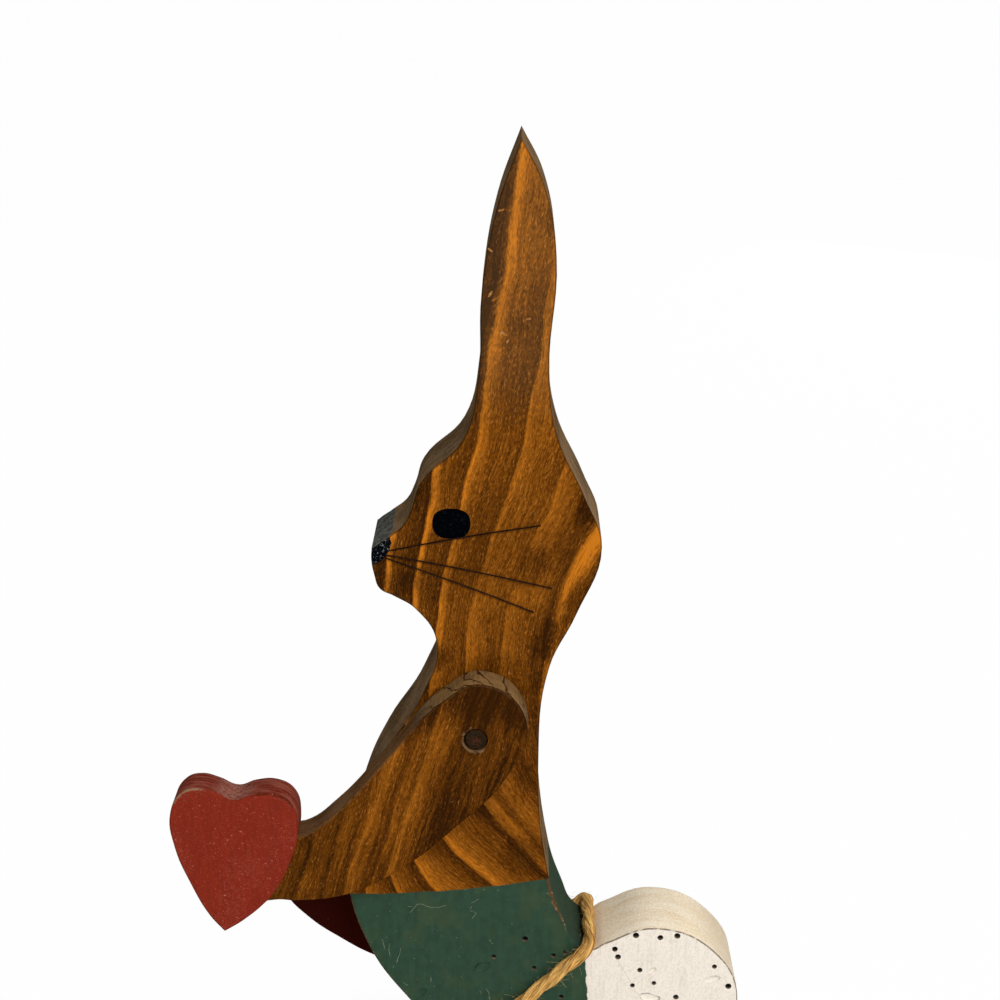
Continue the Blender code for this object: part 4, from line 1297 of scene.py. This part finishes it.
def twine_tree():
    """Lays three plies round each spline, and stands stray fibres on them."""
    sockets = (
        ("Diameter", "NodeSocketFloat"),
        ("Pitch", "NodeSocketFloat"),
        ("Fibre", "NodeSocketFloat"),
        ("Density", "NodeSocketFloat"),
        ("Finish", "NodeSocketMaterial"),
    )
    tree, wires, names = new_tree("Spun twine", sockets)
    path = wires["Geometry"]
    ply = wires["Diameter"] * 0.29
    reach = wires["Diameter"] * 0.21

    def stored(geometry, name, value):
        sockets = {"Geometry": geometry, "Name": name, "Value": value}
        settings = {"data_type": "FLOAT", "domain": "POINT"}
        return path.node("GeometryNodeStoreNamedAttribute", sockets, settings)

    def vector_math(operation, sockets):
        return path.node("ShaderNodeVectorMath", sockets, {"operation": operation})

    def chance(low, high, seed):
        sockets = {"Min": low, "Max": high, "Seed": seed}
        return path.node("FunctionNodeRandomValue", sockets, {"data_type": "FLOAT"}, out=1)

    sockets = {"Geometry": path, "Amount": PLIES}
    copies = path.node("GeometryNodeDuplicateElements", sockets, {"domain": "SPLINE"})
    index = Wire(tree, copies.socket.node.outputs["Duplicate Index"])
    length = path.node("GeometryNodeSplineParameter", out="Length")
    copies = stored(stored(copies, "ply_length", length), "ply_index", index)
    angle = length / wires["Pitch"] * math.tau + index * (math.tau / PLIES)
    normal = path.node("GeometryNodeInputNormal")
    tangent = path.node("GeometryNodeInputTangent")
    side = vector_math("CROSS_PRODUCT", {0: normal, 1: tangent})
    along_normal = vector_math("SCALE", {0: normal, "Scale": path.math("COSINE", angle) * reach})
    along_side = vector_math("SCALE", {0: side, "Scale": path.math("SINE", angle) * reach})
    offset = vector_math("ADD", {0: along_normal, 1: along_side})
    plies = path.node("GeometryNodeSetPosition", {"Geometry": copies, "Offset": offset})
    ring = path.node("GeometryNodeCurvePrimitiveCircle", {"Resolution": 10, "Radius": ply})
    ring = stored(ring, "ply_turn", path.node("GeometryNodeSplineParameter", out="Factor"))
    sockets = {"Curve": plies, "Profile Curve": ring, "Fill Caps": True}
    strands = path.node("GeometryNodeCurveToMesh", sockets)
    spread = {"Mesh": strands, "Density": wires["Density"], "Seed": 5}
    points = path.node("GeometryNodeDistributePointsOnFaces", spread)
    outward = Wire(tree, points.socket.node.outputs["Rotation"])
    sockets = {
        "Start": (0.0, 0.0, -0.05),
        "Middle": (0.35, 0.0, 0.30),
        "End": (1.0, 0.0, 0.22),
        "Resolution": 4,
    }
    hair = path.node("GeometryNodeCurveQuadraticBezier", sockets)
    thin = path.node("GeometryNodeCurvePrimitiveCircle", {"Resolution": 3, "Radius": 0.006})
    hair = path.node("GeometryNodeCurveToMesh", {"Curve": hair, "Profile Curve": thin})
    hair = stored(hair, "stray", 1.0)
    about = path.node("ShaderNodeCombineXYZ", {"Z": chance(0.0, math.tau, 11)})
    sockets = {"Rotation": outward, "Rotate By": about}
    outward = path.node("FunctionNodeRotateRotation", sockets, {"rotation_space": "LOCAL"})
    size = chance(0.35, 1.0, 13) * wires["Fibre"]
    sockets = {"Points": points, "Instance": hair, "Rotation": outward, "Scale": size}
    fuzz = path.node("GeometryNodeInstanceOnPoints", sockets)
    join = tree.nodes.new("GeometryNodeJoinGeometry")
    tree.links.new(strands.socket, join.inputs[0])
    tree.links.new(fuzz.socket, join.inputs[0])
    whole = path.node("GeometryNodeRealizeInstances", {"Geometry": Wire(tree, join.outputs[0])})
    whole = path.node("GeometryNodeSetShadeSmooth", {"Geometry": whole})
    sockets = {"Geometry": whole, "Material": wires["Finish"]}
    close_tree(tree, path.node("GeometryNodeSetMaterial", sockets))
    return tree, names


def path_curve(name, paths):
    """A curve of smooth open splines through the paths, cut into even steps."""
    curve = bpy.data.curves.new(name, "CURVE")
    curve.dimensions = "3D"
    for path in paths:
        dense = even_points(path, TWINE_STEP)
        spline = curve.splines.new("POLY")
        spline.points.add(len(dense) - 1)
        for knot, point in zip(spline.points, dense):
            knot.co = (*point, 1.0)
    return curve


def even_points(path, step):
    """Points at even steps along a smooth line through the path."""
    fine = []
    for index in range(len(path) - 1):
        before = path[max(index - 1, 0)]
        here = path[index]
        there = path[index + 1]
        after = path[min(index + 2, len(path) - 1)]
        count = max(2, int((there - here).length / (step * 0.25)))
        for number in range(count):
            t = number / count
            fine.append(smooth_point(before, here, there, after, t))
    fine.append(path[-1].copy())
    points = [fine[0]]
    gone = 0.0
    for first, second in zip(fine, fine[1:]):
        gone += (second - first).length
        if gone >= step:
            points.append(second)
            gone = 0.0
    return points


def smooth_point(before, here, there, after, t):
    """A point between here and there whose line keeps its slope through both; long spans stay straight."""
    span = (there - here).length
    leave = (there - before).normalized() * span
    arrive = (after - here).normalized() * span
    a = 2 * t ** 3 - 3 * t ** 2 + 1
    b = t ** 3 - 2 * t ** 2 + t
    c = -2 * t ** 3 + 3 * t ** 2
    d = t ** 3 - t ** 2
    return here * a + leave * b + there * c + arrive * d


class RABBIT_OT_twine(bpy.types.Operator):
    """Tie three-ply jute round the waist, with its knot and frayed ends"""

    bl_idname = "rabbit.twine"
    bl_label = "Waist twine"

    def execute(self, context):
        twine = context.scene.rabbit_twine
        finish = jute_finish(twine)
        tree, names = twine_tree()
        values = {"Diameter": twine.diameter, "Pitch": twine.pitch, "Fibre": twine.fibre, "Finish": finish}
        area = math.pi * twine.diameter * TWINE_LENGTH
        values["Density"] = twine.fibres / area
        mesh = grown("waist_jute", path_curve("waist path", [twine_path()]), tree, names, values)
        piece("waist_jute", mesh, None, "figure", "jute", "waist_twine")
        values["Diameter"] = twine.diameter * 0.88
        values["Density"] = twine.fibres / area * 1.6
        mesh = grown("waist_knot", path_curve("knot path", knot_paths()), tree, names, values)
        piece("waist_knot", mesh, None, "figure", "jute", "twine_knot")
        return {"FINISHED"}


def screw_mesh(node):
    """A countersunk screw, its head and length taken from the node; its cross recess is cut later."""
    low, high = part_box(node)
    head = (high.x - low.x) / 2
    length = high.z - low.z
    profile = [(0.0, 0.0), (head - 0.0002, 0.0), (head, 0.0002), (head * 0.5, 0.0026)]
    thread = 0.0
    while 0.004 + thread < length - 0.004:
        profile += [(0.0019, 0.004 + thread), (0.0015, 0.0045 + thread)]
        thread += 0.0012
    profile += [(0.0010, length - 0.002), (0.0, length)]
    sculpt = bmesh.new()
    rings = [sculpt.verts.new((r, 0, h)) for r, h in profile]
    edges = [sculpt.edges.new(pair) for pair in zip(rings, rings[1:])]
    bmesh.ops.spin(
        sculpt, geom=rings + edges, cent=(0, 0, 0), axis=(0, 0, 1), angle=math.tau, steps=24
    )
    bmesh.ops.remove_doubles(sculpt, verts=sculpt.verts, dist=1e-6)
    bmesh.ops.recalc_face_normals(sculpt, faces=sculpt.faces)
    return mesh_of(sculpt, "screw blank")


def screw_tree():
    """Sets a screw at each point and cuts a cross recess into its head."""
    sockets = (
        ("Screw", "NodeSocketObject"),
        ("Recess", "NodeSocketFloat"),
        ("Finish", "NodeSocketMaterial"),
    )
    tree, wires, names = new_tree("Base screws", sockets)
    points = wires["Geometry"]
    blank = points.node("GeometryNodeObjectInfo", {"Object": wires["Screw"]}, out="Geometry")
    for along, across in ((1.0, 0.24), (0.24, 1.0)):
        sizes = [wires["Recess"] * share for share in (along, across, 0.55)]
        size = points.node("ShaderNodeCombineXYZ", dict(zip("XYZ", sizes)))
        blank = carved(blank, points.node("GeometryNodeMeshCube", {"Size": size}))
    screws = points.node("GeometryNodeInstanceOnPoints", {"Points": points, "Instance": blank})
    close_tree(tree, finished(screws, wires["Finish"]))
    return tree, names


class RABBIT_OT_base(bpy.types.Operator):
    """Stain the base board and set its two screws from below"""

    bl_idname = "rabbit.base"
    bl_label = "Base and screws"

    def execute(self, context):
        wood = context.scene.rabbit_wood
        sculpt = eased_board("base_board", 0.0)
        mesh = shade_board(mesh_of(sculpt, "base_plank"))
        piece("base_plank", mesh, base_finish(wood), "figure", "base_pine", "base_board")
        nodes = ("base_screw_front", "base_screw_rear")
        blank = placed("screw blank", screw_mesh(nodes[0]))
        spots = []
        for node in nodes:
            low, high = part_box(node)
            spots.append(((low.x + high.x) / 2, (low.y + high.y) / 2, low.z))
        points = bpy.data.meshes.new("screw points")
        points.from_pydata(spots, [], [])
        tree, names = screw_tree()
        values = {"Screw": blank, "Recess": SCREW_RECESS, "Finish": zinc_finish()}
        mesh = grown("base_screws", points, tree, names, values)
        bpy.data.objects.remove(blank)
        piece("base_screws", mesh, None, "figure", "screw_zinc", *nodes)
        return {"FINISHED"}


def backdrop_finish():
    """A pale floor that reads as white to the camera; round the base it shows more of its lit colour, so the
    real shadow shows there, and that ring is greyer than the white beyond, a painted shade.
    """
    material, wire = new_finish("pale floor")
    diffuse = wire.node("ShaderNodeBsdfDiffuse", {"Color": (0.8, 0.8, 0.8, 1.0)})
    glow = wire.node("ShaderNodeEmission", {"Color": (1.0, 1.0, 1.0, 1.0), "Strength": 1.0})
    x, y, _ = millimetres(wire)
    # Round the base the floor is less white: the real shadow shows through, and the grey ring itself is
    # painted shade.
    reach = ((x / 150.0) ** 2.0 + (y / 120.0) ** 2.0) ** 0.5
    white = smooth(reach, 0.4, 1.0) * 0.385 + 0.6
    blend = wire.node("ShaderNodeMixShader", {0: seen_directly(wire) * white, 1: diffuse, 2: glow})
    wire.tree.links.new(blend.socket, wire.tree.nodes["Material Output"].inputs["Surface"])
    return material


def seen_directly(wire):
    """One where a ray comes from the camera, a mirror image or glass, zero where it only carries light."""
    outputs = wire.node("ShaderNodeLightPath").socket.node.outputs
    kinds = ("Is Camera Ray", "Is Glossy Ray", "Is Transmission Ray")
    rays = [Wire(wire.tree, outputs[kind]) for kind in kinds]
    return wire.math("MINIMUM", rays[0] + rays[1] + rays[2], 1.0)


def light_room(scene, settings):
    world = bpy.data.worlds.new("studio room")
    world.use_nodes = True
    scene.world = world
    tree = world.node_tree
    wire = Wire(tree)
    shine = seen_directly(wire) * (1.0 - settings.sky) + settings.sky
    room = wire.node("ShaderNodeBackground", {"Color": (1.0, 1.0, 1.0, 1.0), "Strength": shine})
    tree.links.new(room.socket, tree.nodes["World Output"].inputs["Surface"])


def add_lamp(name, place, size, power):
    """A soft square lamp that shines on the middle of the rabbit."""
    lamp = bpy.data.lights.new(name, "AREA")
    lamp.shape = "SQUARE"
    lamp.size = size
    lamp.energy = power
    item = placed(name, lamp)
    item.location = place
    item.rotation_euler = (LAMP_AIM - Vector(place)).to_track_quat("-Z", "Y").to_euler()


class RABBIT_OT_studio(bpy.types.Operator):
    """Set the floor, the soft light and the camera"""

    bl_idname = "rabbit.studio"
    bl_label = "Studio"

    def execute(self, context):
        scene = context.scene
        settings = scene.rabbit_studio
        scene.view_settings.view_transform = "Standard"
        light_room(scene, settings)
        sculpt = bmesh.new()
        bmesh.ops.create_grid(sculpt, x_segments=2, y_segments=2, size=6.0)
        floor = placed("floor", mesh_of(sculpt, "floor"))
        floor.data.materials.append(backdrop_finish())
        for name, place, size, share in LAMPS:
            add_lamp(name, place, size, settings.key * share)
        camera = placed("camera", bpy.data.cameras.new("camera"))
        camera.location = settings.eye
        camera.rotation_euler = (math.pi / 2 - settings.pitch, 0, settings.yaw)
        camera.data.lens = settings.lens
        camera.data.sensor_width = 36.0
        camera.data.clip_start = 0.01
        scene.camera = camera
        return {"FINISHED"}


class RABBIT_PT_panel(bpy.types.Panel):
    """The rabbit's pieces, and the sizes and colours that a user may change"""

    bl_idname = "RABBIT_PT_panel"
    bl_label = "Wooden Rabbit"
    bl_space_type = "VIEW_3D"
    bl_region_type = "UI"
    bl_category = "Rabbit"

    def draw(self, context):
        for group in ("rabbit_wood", "rabbit_paint", "rabbit_twine", "rabbit_studio"):
            settings = getattr(context.scene, group)
            box = self.layout.box()
            for name in settings.__annotations__:
                box.prop(settings, name)
        for operator in OPERATORS:
            self.layout.operator(operator.bl_idname)


OPERATORS = (
    RABBIT_OT_board,
    RABBIT_OT_arms,
    RABBIT_OT_hearts,
    RABBIT_OT_pegs,
    RABBIT_OT_nose,
    RABBIT_OT_twine,
    RABBIT_OT_base,
    RABBIT_OT_studio,
)
SETTINGS = {
    "rabbit_wood": WoodSettings,
    "rabbit_paint": PaintSettings,
    "rabbit_twine": TwineSettings,
    "rabbit_studio": StudioSettings,
}


def register():
    for group in SETTINGS.values():
        bpy.utils.register_class(group)
    for operator in OPERATORS:
        bpy.utils.register_class(operator)
    bpy.utils.register_class(RABBIT_PT_panel)
    for name, group in SETTINGS.items():
        setattr(bpy.types.Scene, name, bpy.props.PointerProperty(type=group))


def unregister():
    for name in SETTINGS:
        delattr(bpy.types.Scene, name)
    bpy.utils.unregister_class(RABBIT_PT_panel)
    for operator in reversed(OPERATORS):
        bpy.utils.unregister_class(operator)
    for group in reversed(list(SETTINGS.values())):
        bpy.utils.unregister_class(group)


def main():
    register()
    bpy.ops.rabbit.board()
    bpy.ops.rabbit.arms()
    bpy.ops.rabbit.hearts()
    bpy.ops.rabbit.pegs()
    bpy.ops.rabbit.nose()
    bpy.ops.rabbit.twine()
    bpy.ops.rabbit.base()
    bpy.ops.rabbit.studio()


if __name__ == "__main__":
    main()
